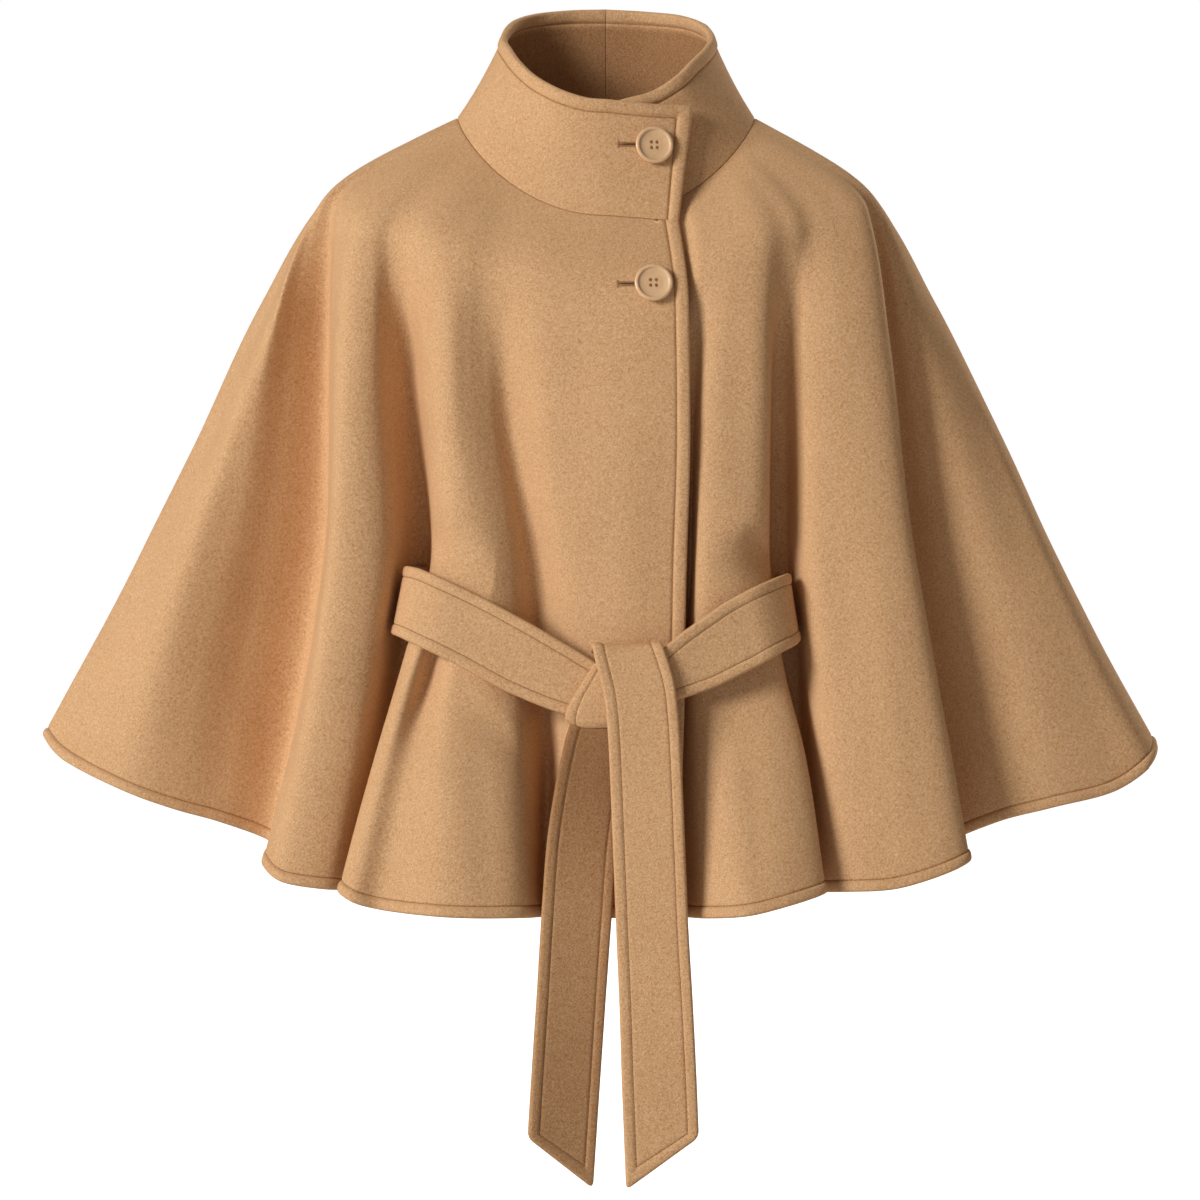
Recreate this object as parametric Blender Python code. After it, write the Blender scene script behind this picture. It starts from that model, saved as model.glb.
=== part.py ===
"""Belted wool cape, filled out as if worn: two fronts, two backs, a stand collar in two halves,
a belt tied in a half knot with two hanging ends, and two buttons.

Front faces -Y, +Z is up. The origin is the middle of the neck opening, level with the shoulder
points where the collar meets the shoulders. Sizes in the tables are millimetres.
"""
import math

import bmesh
import bpy
import numpy as np
from mathutils import Matrix

MM = 0.001

# Cloth
BODY_WALL = 2.2          # thickness of the cape's wool
COLLAR_WALL = 2.8        # the collar is stiffer
SEAM_GAP = 0.34          # between two pieces at a seam
COLLAR_HOLLOW = 1.5      # how far the collar's side curves in between seam and rim
BAND_WIDTH = 10.0        # turned and topstitched edge
BAND_RISE = 0.9          # how far the edge band stands proud
INNER_RISE = 0.8         # and the share of that on the inner side
LAP_INSET = 4.2          # the under front lies this far behind the over front under the belt
NECK_LAP_INSET = 7.5     # and this far behind it at the neck seam
COLLAR_LEAN = 0.28       # how far the collar leans back for each millimetre up

# Neck seam: an oval that dips at the front
NECK_HALF_WIDTH = 110.0
NECK_FRONT_DEPTH = 88.0
NECK_BACK_DEPTH = 78.0
NECK_FRONT_DROP = 77.0
LAP_DROP_RATE = 0.075    # the over front's seam keeps falling past the middle

# Belt
BELT_WIDTH = 52.0
BELT_THICKNESS = 4.0
BELT_BAND_RISE = 0.5
PRESS_REACH = 34.0       # height over which the cloth eases back out above and below the belt
PRESS_CLEARANCE = 1.1
STEEPEST_PRESS = 1.8     # most that the clearance grows where the belt turns away
RIGHT_SLIT = (0.557, 0.653)    # ends of the belt's slits, as shares of the way from neck to hem
LEFT_SLIT = (0.573, 0.663)

# Buttons
BUTTON_DIAMETER = 28.0
BUTTON_THICKNESS = 4.4
BUTTON_RIM = 2.8
BUTTON_HOLE = 2.5
BUTTON_HOLE_PITCH = 4.3
BUTTON_SEAT = 0.4        # between the cloth and the button's back
UPPER_BUTTON = (17.0, 0.63)    # its angle round the neck and its share of the way up the collar
LOWER_BUTTON = (0.86, 0.096)  # its place across the over front's fold lines and down them

# Each fold line runs from the neck seam to the hem. Its place (x, y) is given at these shares of
# its way down: yoke, chest, waist, below the belt, skirt and hem.
STATIONS = (0.0, 0.12, 0.30, 0.53, 0.68, 0.82, 1.0)

# name, angle round the neck, hem drop, then (x, y) at the yoke, chest, waist, low, skirt and hem
RIGHT_FRONT = (
    ("over edge", 29, 586, (60, -116), (61, -119), (58, -112), (57, -112), (55, -120), (54, -132)),
    ("lap", 16, 586, (30, -118), (30, -121), (30, -114), (31, -114), (31, -120), (31, -132)),
    ("centre", 3, 586, (-4, -118), (-4, -120), (-1, -113), (1, -113), (1, -118), (1, -129)),
    ("centre side", -6, 586, (-46, -116), (-48, -114), (-38, -104), (-33, -104), (-32, -112), (-32, -123)),
    ("valley", -13, 587, (-75, -109), (-74, -94), (-60, -77), (-56, -75), (-51, -77), (-50, -93)),
    ("bulge in", -18, 585, (-88, -108), (-87, -105), (-71, -105), (-69, -109), (-66, -129), (-62, -150)),
    ("bulge", -24, 584, (-101, -109), (-100, -113), (-86, -115.5), (-112, -116), (-114, -142), (-114, -162)),
    ("dip", -30, 579, (-112, -108), (-112, -116), (-101, -116), (-128, -96), (-147, -126), (-166, -138)),
    ("roll", -36, 574, (-123, -105), (-122, -111), (-113, -113), (-138, -110), (-160, -128), (-183, -141)),
    ("roll out", -42, 567, (-135, -99), (-131, -98), (-125, -93), (-146, -97), (-168, -112), (-193, -127)),
    ("slit in", -49, 567, (-147, -91), (-143, -69), (-131, -54), (-139, -56), (-150, -71), (-166, -98)),
    ("slit out", -54, 567, (-157, -87), (-153, -77), (-141.5, -58), (-150, -53), (-161, -65), (-178, -91)),
    ("fold in", -60, 566, (-170, -87), (-169, -98), (-163, -101), (-171, -102), (-182, -106), (-203, -116)),
    ("fold", -67, 560, (-183, -80), (-188, -101), (-191, -107), (-197, -109), (-207, -112), (-227, -120)),
    ("fold out", -74, 547, (-197, -58), (-207, -69), (-209, -82), (-215, -89), (-229, -94), (-250, -102)),
    ("arm", -77, 534, (-203, -43), (-215, -30), (-215, -28), (-220, -26), (-232, -26), (-247, -33)),
    ("wing in", -80, 520, (-209, -42), (-227, -32), (-237, -26), (-249, -26), (-262, -28), (-277, -34)),
    ("wing", -83, 510, (-212, -38), (-241, -44), (-264, -43), (-281, -44), (-295, -45), (-310, -47)),
    ("wing out", -86, 497, (-214, -27), (-245, -33), (-285, -37), (-310, -39), (-332, -40), (-353, -41)),
    ("edge", -88, 472, (-209, -12), (-250, -13), (-297, -13), (-329, -13), (-360, -13), (-404, -12)),
)
RIGHT_RIDGE = ("right ridge", -90, 458, (-207, 0), (-255, 0), (-305, 0), (-339, 0), (-372, 0), (-417, 0))

LEFT_FRONT = (
    ("under edge", 3, 585, (6, -111), (6, -115), (6, -107), (6, -107), (6, -113), (6, -124)),
    ("under lap", 16, 585, (30, -110), (30, -115), (30, -108), (31, -108), (31, -114), (31, -126)),
    ("under middle", 28, 585, (56, -102), (56, -112), (55, -105), (54, -105), (52, -114), (50, -126)),
    ("valley", 34, 586, (66, -108), (66, -98), (63, -84), (58, -82), (58, -96), (61, -116)),
    ("roll in", 39, 586, (77, -109), (73, -112), (66, -110), (68, -104), (71, -116), (76, -136)),
    ("roll", 46, 583, (93, -108), (84, -116), (84, -115), (88, -113), (95, -131), (105, -152)),
    ("roll out", 53, 568, (115, -104), (116, -109), (115, -105), (129, -98), (145, -113), (159, -128)),
    ("slit in", 58, 569, (129, -96), (123, -80), (121, -58), (127, -54), (131, -70), (136, -96)),
    ("slit out", 62, 569, (139, -92), (132, -78), (131, -54), (138, -50), (142, -62), (149, -90)),
    ("fold in", 67, 568, (149, -88), (148, -96), (147, -92), (152, -95), (159, -100), (172, -112)),
    ("fold", 72, 565, (164, -77), (172, -94), (183, -98), (192, -102), (201, -107), (213, -117)),
    ("fold out", 77, 547, (190, -64), (205, -80), (219, -90), (232, -94), (246, -99), (263, -105)),
    ("arm", 80, 536, (198, -45), (208, -37), (218, -30), (228, -27), (240, -26), (250, -34)),
    ("wing in", 82, 519, (201, -43), (219, -42), (238, -34), (254, -31), (270, -33), (288, -40)),
    ("wing", 85, 509, (205, -38), (231, -43), (262, -43), (284, -42), (304, -44), (326, -46)),
    ("wing out", 87, 496, (206, -29), (241, -39), (288, -41), (318, -42), (345, -43), (376, -44)),
    ("edge", 88, 477, (201, -14), (244, -18), (295, -20), (327, -20), (358, -20), (403, -19)),
)
LEFT_RIDGE = ("left ridge", 90, 464, (198, 0), (245, 0), (297, 0), (329, 0), (361, 0), (407, 0))

# The back, from the ridge to the middle, drawn for the left half
BACK = (
    ("back wing edge", 92, 474, (205, 12), (246, 13), (293, 13), (325, 13), (355, 13), (398, 12)),
    ("back wing outer", 95, 497, (208, 28), (243, 32), (284, 32), (309, 31), (330, 30), (352, 30)),
    ("back wing", 99, 512, (204, 46), (235, 50), (268, 48), (288, 46), (303, 45), (318, 45)),
    ("first flute", 104, 526, (196, 64), (220, 76), (246, 80), (260, 84), (270, 88), (282, 92)),
    ("first hollow", 110, 532, (184, 74), (203, 82), (222, 74), (232, 70), (240, 70), (248, 74)),
    ("second flute", 117, 547, (169, 86), (180, 100), (192, 108), (198, 112), (205, 118), (212, 126)),
    ("second flute inner", 125, 557, (150, 94), (158, 108), (166, 116), (170, 120), (174, 126), (180, 134)),
    ("second hollow", 134, 562, (126, 98), (130, 108), (134, 102), (137, 100), (140, 104), (145, 112)),
    ("third flute", 144, 574, (98, 102), (100, 114), (104, 122), (106, 126), (110, 134), (114, 146)),
    ("third flute inner", 154, 580, (70, 104), (71, 116), (73, 126), (74, 130), (76, 138), (80, 152)),
    ("third hollow", 163, 584, (44, 105), (44, 115), (44, 112), (44, 112), (44, 118), (46, 130)),
    ("middle side", 172, 588, (20, 105), (20, 116), (20, 118), (20, 122), (20, 130), (21, 144)),
)
BACK_MIDDLE = ("back middle", 180, 590, (0, 105), (0, 116), (0, 119), (0, 123), (0, 131), (0, 146))

# Collar lines: name, angle round the neck, then the rim's x, y and z
OVER_COLLAR = (
    ("over collar edge", 29, (64, -62, 5)),
    ("over collar lap", 16, (34, -69, 6)),
    ("collar front", 1, (0, -72, 9)),
    ("collar near front", -12, (-13, -71, 10)),
    ("collar front right", -33, (-32, -66, 16)),
    ("collar half right", -50, (-51, -54, 27)),
    ("collar fore right", -65, (-62, -37, 40)),
    ("collar side right", -80, (-68, -18, 51)),
    ("collar right", -97, (-72, 4, 61)),
    ("collar aft right", -115, (-69, 26, 74)),
    ("collar rear right", -132, (-55, 46, 81)),
    ("collar back right", -155, (-28, 60, 85)),
)
COLLAR_BACK = ("collar back", 180, (0, 64, 86))
UNDER_COLLAR = (
    ("under collar edge", 3, (2, -65, 12)),
    ("under collar front", 14, (14, -64, 13)),
    ("under collar lap", 33, (34, -59, 18)),
    ("collar half left", 50, (52, -51, 28)),
    ("collar fore left", 65, (63, -36, 40)),
    ("collar side left", 80, (70, -18, 51)),
    ("collar left", 97, (74, 4, 61)),
    ("collar aft left", 115, (71, 26, 72)),
    ("collar rear left", 132, (57, 46, 80)),
    ("collar back left", 155, (30, 60, 84)),
)

# The belt's way round the waist, knot to knot: x, y, z of its middle line, half its width, and
# how far its face tips up in degrees where it wraps a flaring fold
WAIST_PATH = (
    (-14, -122, -422, 21.5, 0), (-34, -121.6, -413, 24, 0), (-62, -120.6, -399, 26, 1),
    (-97, -118, -380, 26, 4), (-124, -114, -367, 26, 8), (-142, -103, -359, 26, 12),
    (-149.5, -86, -357, 25.5, 11), (-140, -66, -358.5, 21, 5), (-143, -37, -357, 21.5, 1),
    (-164, 8, -350, 26, 0), (-152, 56, -343, 26, 0), (-112, 88, -342, 26, 0),
    (-56, 101, -341, 26, 0), (0, 104, -341, 26, 0), (56, 101, -341, 26, 0),
    (110, 88, -342, 26, 0), (148, 56, -346, 26, 0), (156, 8, -352, 26, 0),
    (134, -37, -361, 20.5, -1), (128, -60, -362.5, 20, 3), (135.5, -85, -362, 25, 9),
    (130, -101, -365, 26, 9), (115, -114.5, -372, 26, 6), (97, -119.5, -382, 26, 3),
    (68, -124, -399, 23.5, 0), (45, -127.6, -411, 19, 0), (15, -129.8, -421, 17.5, 0),
)

# The two hanging ends: x, y, z of the middle line and half the width
FRONT_TAIL = (
    (14, -119, -391, 25), (14, -123, -388, 25), (15, -129, -388, 25), (16, -133, -391.5, 25),
    (20, -134.9, -405, 25.5), (24, -135.2, -422, 26), (27, -136.2, -450, 26), (29, -139, -490, 26),
    (31, -141.5, -540, 26), (33, -143.5, -590, 26), (36, -144, -650, 26.5), (38, -144, -700, 27),
    (40.5, -144, -762, 27),
)
REAR_TAIL = (
    (-6, -124.6, -448.5, 25), (-6, -125.4, -461, 25), (-11, -128.6, -490, 25.5), (-17, -131.5, -530, 26),
    (-21, -135, -580, 26), (-25, -137, -640, 26), (-29, -136.5, -700, 26.5), (-33, -136.5, -762, 26.5),
)
TAIL_POINT_SLOPE = 0.66  # how steeply the ends of the belt are cut
TAIL_POINT_REACH = 50.0  # length over which the cut's slant fades in

# Outline of the turned piece at the knot's lower left, x and z, and its middle depth
KNOT_OUTLINE = (
    (-9, -402), (-18, -416), (-27, -432), (-30.5, -440), (-29, -445), (-24, -447.5),
    (-12, -448), (-1, -446), (6, -440), (7, -425), (4, -408), (-3, -401.5),
)
KNOT_DEPTH = -127.2
KNOT_HALF_THICKNESS = 2.3

WOOL = (0.42, 0.25, 0.12, 1.0)
WOOL_BELT = (0.43, 0.26, 0.125, 1.0)
HORN = (0.40, 0.24, 0.13, 1.0)


def clear_scene():
    for item in list(bpy.data.objects):
        bpy.data.objects.remove(item, do_unlink=True)


def make_material(name, color, roughness):
    material = bpy.data.materials.new(name)
    material.use_nodes = True
    shader = material.node_tree.nodes["Principled BSDF"]
    shader.inputs["Base Color"].default_value = color
    shader.inputs["Roughness"].default_value = roughness
    shader.inputs["Metallic"].default_value = 0.0
    return material


def smoothstep(low, high, value):
    share = np.clip((value - low) / (high - low), 0.0, 1.0)
    return share * share * (3 - 2 * share)


# Neck seam -----------------------------------------------------------------------------------

def neck_point(angle, over=False):
    """Point of the neck seam at an angle from the front; the over front's lap runs on straight."""
    turn = math.radians(angle)
    x = NECK_HALF_WIDTH * math.sin(turn)
    if over and angle > 0:
        return np.array((x, -NECK_FRONT_DEPTH + 0.05 * x, -NECK_FRONT_DROP - LAP_DROP_RATE * x))
    if abs(angle) <= 90:
        front = math.cos(turn)
        y = -NECK_FRONT_DEPTH * front
        z = -NECK_FRONT_DROP * front ** 1.5
        if angle > 0:
            y += NECK_LAP_INSET * float(smoothstep(78, 36, angle))
        return np.array((x, y, z))
    return np.array((x, -NECK_BACK_DEPTH * math.cos(turn), 0.0))


def neck_normal(angle, over=False):
    """Outward direction shared by the collar and the body along the neck seam."""
    turn = math.radians(angle)
    if over and angle > 0:
        turn *= 0.15
    depth = NECK_FRONT_DEPTH if math.cos(turn) > 0 else NECK_BACK_DEPTH
    flat = np.array((math.sin(turn) / NECK_HALF_WIDTH, -math.cos(turn) / depth, 0.0))
    flat /= np.linalg.norm(flat)
    lift = math.radians(14 + 32 * math.sin(turn) ** 2)
    if math.cos(turn) < 0:
        lift += math.radians(14) * math.cos(turn) ** 2
    return flat * math.cos(lift) + np.array((0, 0, math.sin(lift)))


# Lofting through fold lines --------------------------------------------------------------------

def steady_slopes(keys, values):
    """Slopes for a curve through values at keys that never swings past them."""
    span = np.diff(keys).reshape((-1,) + (1,) * (values.ndim - 1))
    rate = np.diff(values, axis=0) / span
    before, after = rate[:-1], rate[1:]
    weight = (2 * span[1:] + span[:-1]), (span[1:] + 2 * span[:-1])
    with np.errstate(divide="ignore", invalid="ignore"):
        inside = (weight[0] + weight[1]) / (weight[0] / before + weight[1] / after)
    inside = np.where(before * after > 0, inside, 0.0)
    first = ((2 * span[0] + span[1]) * rate[0] - span[0] * rate[1]) / (span[0] + span[1])
    return np.concatenate((first[None], inside, rate[-1:]))


def hermite(keys, values, places):
    """Smooth curve through values at keys, read at places; works on stacks of values."""
    keys = np.asarray(keys, float)
    values = np.asarray(values, float)
    slopes = steady_slopes(keys, values)
    index = np.clip(np.searchsorted(keys, places, side="right") - 1, 0, len(keys) - 2)
    span = keys[index + 1] - keys[index]
    share = (places - keys[index]) / span
    shape = (-1,) + (1,) * (values.ndim - 1)
    share, span = share.reshape(shape), span.reshape(shape)
    low, high = values[index], values[index + 1]
    return (low * (2 * share ** 3 - 3 * share ** 2 + 1) + high * (3 * share ** 2 - 2 * share ** 3)
            + slopes[index] * span * (share ** 3 - 2 * share ** 2 + share)
            + slopes[index + 1] * span * (share ** 3 - share ** 2))


def centripetal(rows, places):
    """Read the smooth curve through each row of points at places given in line numbers.

    rows is (..., lines, 3) and places is (..., columns).
    """
    first = 2 * rows[..., :1, :] - rows[..., 1:2, :]
    last = 2 * rows[..., -1:, :] - rows[..., -2:-1, :]
    points = np.concatenate((first, rows, last), axis=-2)
    index = np.clip(np.floor(places).astype(int), 0, rows.shape[-2] - 2)
    share = (places - index)[..., None]
    corner = [np.take_along_axis(points, (index + step)[..., None], axis=-2) for step in range(4)]
    gap = [np.sqrt(np.linalg.norm(corner[k + 1] - corner[k], axis=-1, keepdims=True)) + 1e-9
           for k in range(3)]
    start = (corner[1] - corner[0]) / gap[0] - (corner[2] - corner[0]) / (gap[0] + gap[1])
    start = gap[1] * (start + (corner[2] - corner[1]) / gap[1])
    stop = (corner[2] - corner[1]) / gap[1] - (corner[3] - corner[1]) / (gap[1] + gap[2])
    stop = gap[1] * (stop + (corner[3] - corner[2]) / gap[2])
    return (corner[1] * (2 * share ** 3 - 3 * share ** 2 + 1) + corner[2] * (3 * share ** 2 - 2 * share ** 3)
            + start * (share ** 3 - 2 * share ** 2 + share) + stop * (share ** 3 - share ** 2))


def line_points(line, over=False):
    """The places of one fold line at the stations, neck first."""
    _, angle, drop, *spots = line
    neck = neck_point(angle, over)
    points = [neck]
    for share, (x, y) in zip(STATIONS[1:], spots):
        points.append(np.array((x, y, neck[2] + (-drop - neck[2]) * share)))
    return points


def mirrored(line):
    """The same fold line on the other side of the middle."""
    name, angle, drop, *spots = line
    return (name, -angle, drop, *[(-x, y) for x, y in spots])


class Loft:
    """A surface through fold lines: across them by line number, down them by share of length."""

    def __init__(self, lines, press=None, over=False):
        self.angles = np.array([line[1] for line in lines], float)
        self.over = over
        self.press = press
        self.table = np.array([line_points(line, over) for line in lines])

    def at(self, across, down):
        across, down = np.broadcast_arrays(np.asarray(across, float), np.asarray(down, float))
        flat = down.ravel()
        rows = hermite(STATIONS, np.swapaxes(self.table, 0, 1), flat)
        points = centripetal(rows, across.reshape(-1, 1))[:, 0, :]
        points += self.neck_shift(across.ravel()) * smoothstep(0.08, 0.0, flat)[:, None]
        points = points.reshape(across.shape + (3,))
        return self.press(points) if self.press else points

    def neck_shift(self, across):
        """What brings the loft's first row exactly onto the neck seam's oval."""
        lofted = centripetal(self.table[:, 0][None], across[None])[0]
        angles = np.interp(across, np.arange(len(self.angles)), self.angles)
        return np.array([neck_point(angle, self.over) for angle in angles]) - lofted

    def normals(self, across, down, step=0.02):
        right = self.at(np.minimum(across + step, len(self.angles) - 1), down)
        left = self.at(np.maximum(across - step, 0), down)
        lower = self.at(across, np.minimum(down + step / 3, 1))
        upper = self.at(across, np.maximum(down - step / 3, 0))
        normal = np.cross(right - left, upper - lower) * np.sign(self.angles[-1] - self.angles[0])
        return normal / (np.linalg.norm(normal, axis=-1, keepdims=True) + 1e-12)

    def width(self, across, down):
        """Millimetres for one step of line number, at a place."""
        step = 0.02
        near = np.clip(across, step, len(self.angles) - 1 - step)
        return np.linalg.norm(self.at(near + step, down) - self.at(near - step, down), axis=-1) / (2 * step)

    def length(self, across):
        """Millimetres from the neck seam to the hem along a column."""
        down = np.linspace(0, 1, 25)[:, None]
        points = self.at(np.broadcast_to(across, (25, len(across))), np.broadcast_to(down, (25, len(across))))
        return np.linalg.norm(np.diff(points, axis=0), axis=-1).sum(axis=0)


# Belt geometry that the cloth is pressed by ------------------------------------------------------

def smooth_columns(points, per_span):
    """A smooth curve through rows of x, y, z and further numbers, such as a width."""
    rows = np.array(points, float)
    keys = np.arange(len(rows))
    places = np.linspace(0, len(rows) - 1, (len(rows) - 1) * per_span + 1)
    path = centripetal(rows[:, :3], places)
    return path, *(np.interp(places, keys, rows[:, column]) for column in range(3, rows.shape[1]))


def press_under_belt(behind):
    """Make a function that presses cloth back behind the belt's front stretches."""
    path, widths, tilts = smooth_columns(WAIST_PATH, 6)
    front = np.column_stack((path, np.tan(np.radians(tilts))))[path[:, 1] < -97]
    front = front[np.argsort(front[:, 0])]
    steep = np.hypot(1, np.gradient(front[:, 1], front[:, 0]))
    fall = np.gradient(front[:, 2], front[:, 0])

    def press(points):
        x, y, z = points[..., 0], points[..., 1], points[..., 2]
        slope = np.interp(x, front[:, 0], fall)
        foot = x + (z - np.interp(x, front[:, 0], front[:, 2])) * slope / (1 + slope * slope)
        belt, middle, lean = (np.interp(foot, front[:, 0], front[:, column]) for column in (1, 2, 3))
        slant = np.minimum(np.interp(foot, front[:, 0], steep), STEEPEST_PRESS)
        away = np.hypot(z - middle, x - foot)
        belt = belt + lean * np.clip(z - middle, -BELT_WIDTH / 2, BELT_WIDTH / 2)
        limit = belt + (BELT_THICKNESS / 2 + PRESS_CLEARANCE) * slant + behind(x)
        half = BELT_WIDTH / 2 + 9
        hold = smoothstep(half + PRESS_REACH, half, away)
        hold *= ((y < -70) & (x > front[0, 0]) & (x < front[-1, 0])).astype(float)
        pressed = np.where(y < limit, y + (limit - y) * hold, y)
        return np.stack((x, pressed, z), axis=-1)

    return press


def behind_over(x):
    return np.zeros_like(x)


def behind_under(x):
    return LAP_INSET * smoothstep(68, 60, x)


def tuck_under(over):
    """Make a function that keeps the under front behind the over front, then behind the belt."""
    down = np.linspace(0, 1, 60)
    lines = [over.at(np.full_like(down, line), down) for line in (2.0, 1.0, 0.5, 0.0)]
    press = press_under_belt(behind_under)

    def tuck(points):
        x, y, z = points[..., 0], points[..., 1], points[..., 2]
        place = [np.interp(-z, -line[:, 2], line[:, 0]) for line in lines]
        depth = [np.interp(-z, -line[:, 2], line[:, 1]) + COLLAR_LEAN * np.maximum(z - line[0, 2], 0)
                 for line in lines]
        front = depth[0]
        for index in range(len(lines) - 1):
            share = np.clip((x - place[index]) / (place[index + 1] - place[index]), 0, 1)
            front = front + (depth[index + 1] - depth[index]) * share
        limit = front + LAP_INSET
        hold = smoothstep(place[-1] + 9, place[-1] + 2, x)
        tucked = np.where(y < limit, y + (limit - y) * hold, y)
        return press(np.stack((x, tucked, z), axis=-1))

    return tuck


# Solids ------------------------------------------------------------------------------------------

def add_object(name, vertices, faces, material, smooth_angle=50):
    mesh = bpy.data.meshes.new(name)
    body = bmesh.new()
    made = [body.verts.new([value * MM for value in vertex]) for vertex in vertices]
    for face in faces:
        body.faces.new([made[i] for i in face])
    bmesh.ops.triangulate(body, faces=body.faces[:])
    if body.calc_volume(signed=True) < 0:
        bmesh.ops.reverse_faces(body, faces=body.faces[:])
    body.to_mesh(mesh)
    body.free()
    mesh.materials.append(material)
    mesh.shade_smooth()
    mesh.set_sharp_from_angle(angle=math.radians(smooth_angle))
    thing = bpy.data.objects.new(name, mesh)
    bpy.context.scene.collection.objects.link(thing)
    return thing


def thin_solid(name, outer, inner, material, gaps=()):
    """Close two matching grids of points into one wall; gaps are grid cells left open."""
    rows, columns = outer.shape[:2]
    gaps = set(gaps)
    cells = [(j, i) for j in range(rows - 1) for i in range(columns - 1) if (j, i) not in gaps]
    used = {}
    vertices = []

    def vertex(layer, j, i):
        key = (layer, j, i)
        if key not in used:
            used[key] = len(vertices)
            vertices.append(tuple((outer if layer == 0 else inner)[j, i]))
        return used[key]

    faces = []
    edges = {}
    for j, i in cells:
        ring = ((j, i), (j, i + 1), (j + 1, i + 1), (j + 1, i))
        faces.append([vertex(0, *spot) for spot in ring])
        faces.append([vertex(1, *spot) for spot in reversed(ring)])
        for start, stop in zip(ring, ring[1:] + ring[:1]):
            if (stop, start) in edges:
                del edges[(stop, start)]
            else:
                edges[(start, stop)] = True
    for start, stop in edges:
        faces.append([vertex(0, *stop), vertex(0, *start), vertex(1, *start), vertex(1, *stop)])
    return add_object(name, vertices, faces, material)


def band_rise(distance):
    """Height of the turned edge: a soft pad with a stitched groove at its inner side."""
    pad = smoothstep(BAND_WIDTH + 0.6, BAND_WIDTH - 1.6, distance)
    return BAND_RISE * pad


def spread(counts, start=0):
    """Columns between fold lines: counts[i] of them from line i to line i + 1."""
    places = [(float(start), 0.0)]
    for index, count in enumerate(counts):
        places += [(start + index + (step + 1) / count, 0.0) for step in range(count)]
    return places


EDGE_STEPS = (0.0, 1.2, BAND_WIDTH - 1.6, BAND_WIDTH + 1.4)


def cape_panel(name, loft, columns, shares, material, edge_line=None, gaps=()):
    """One panel of the cape; each column is a fold line number and a distance from that line.

    edge_line is the fold line that is a free front edge and carries the topstitched band.
    """
    nominal = np.array([column[0] for column in columns])
    offset = np.array([column[1] for column in columns])
    length = loft.length(nominal)
    down = [SEAM_GAP / 2 / length]
    down += [np.full_like(nominal, share) for share in shares]
    down += [1 - step / length for step in reversed(EDGE_STEPS)]
    down = np.array(down)
    across = np.broadcast_to(nominal, down.shape).copy()
    moved = offset != 0
    across[:, moved] += offset[moved] / loft.width(across[:, moved], down[:, moved])
    points = loft.at(across, down)
    seam = np.isclose(np.abs(offset), SEAM_GAP / 2)
    normals = loft.normals(np.where(seam, nominal, across), down)
    angles = np.interp(across[0], np.arange(len(loft.angles)), loft.angles)
    normals[0] = [neck_normal(angle, loft.over) for angle in angles]
    normals[:, seam & (nominal == len(loft.angles) - 1), 0] = 0.0
    rise = band_rise((1 - down) * length)
    if edge_line is not None:
        from_edge = np.where(nominal == edge_line, np.abs(offset), 2 * BAND_WIDTH)
        rise = np.maximum(rise, band_rise(from_edge))
    outer = points + normals * rise[..., None]
    inner = points - normals * (BODY_WALL + rise[..., None] * INNER_RISE)
    return thin_solid(name, outer, inner, material, gaps)


def rows_down(slit):
    """Shares of the way down at which a panel has rows, two of them the ends of its slit."""
    top, foot = slit
    chest = (0.03, 0.062, 0.096, 0.16, 0.24, 0.32, 0.4, 0.48)
    return chest + (top, (top + foot) / 2, foot) + (0.69, 0.745, 0.82, 0.91)


def slit_gaps(columns, lines, rows, slit):
    """The grid cells left open at the foot of the deep fold, for the belt."""
    line = [row[0] for row in lines].index("slit in")
    first = columns.index((float(line), 0.0))
    return {(row, first) for row in range(1 + rows.index(slit[0]), 1 + rows.index(slit[1]))}


def collar_surface(lines, over, seam_angles, up):
    """Outer points and directions of the stand collar at angles round the seam and shares up."""
    side = np.sign(lines[-1][1])
    angles = np.array([line[1] for line in lines], float)
    columns = np.interp(side * np.array(seam_angles), side * angles, np.arange(len(lines)))
    foot = np.array([neck_point(angle, over) for angle in seam_angles])
    rim = centripetal(np.array([line[2] for line in lines], float), columns)
    back = np.abs(seam_angles) == 180
    for ring in (foot, rim):
        ring[back, 0] = side * SEAM_GAP / 2
    height = np.linalg.norm(rim - foot, axis=-1)
    up = up(height)[..., None]
    middle = (foot + rim) / 2
    normal = np.cross(np.gradient(middle, axis=0), rim - foot) * side
    seam_normal = np.array([neck_normal(angle, over) for angle in seam_angles])
    for direction in (normal, seam_normal):
        direction[back, 0] = 0.0
    normal /= np.linalg.norm(normal, axis=-1, keepdims=True)
    points = foot + (rim - foot) * up - normal * COLLAR_HOLLOW * 4 * up * (1 - up)
    blend = smoothstep(0.25, 0.0, up)
    normals = normal * (1 - blend) + seam_normal * blend
    normals /= np.linalg.norm(normals, axis=-1, keepdims=True)
    from_rim = (1 - up[..., 0]) * height
    step = np.linalg.norm(np.diff(middle, axis=0), axis=-1)
    from_edge = np.concatenate(((0.0,), np.cumsum(step)))
    return points, normals, np.minimum(from_rim, from_edge)


def collar_piece(name, lines, over, seam_angles, shares, material):
    """Half of the stand collar, from its front end to the middle of the back."""

    def up(height):
        rows = [SEAM_GAP / 2 / height]
        rows += [np.full_like(height, share) for share in shares]
        rows += [1 - step / height for step in reversed(EDGE_STEPS)]
        return np.array(rows)

    points, normals, from_edge = collar_surface(lines, over, seam_angles, up)
    rise = band_rise(from_edge)[..., None]
    outer = points + normals * rise
    inner = points - normals * (COLLAR_WALL + rise * INNER_RISE)
    return thin_solid(name, outer, inner, material)


# Belt --------------------------------------------------------------------------------------------

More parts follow.
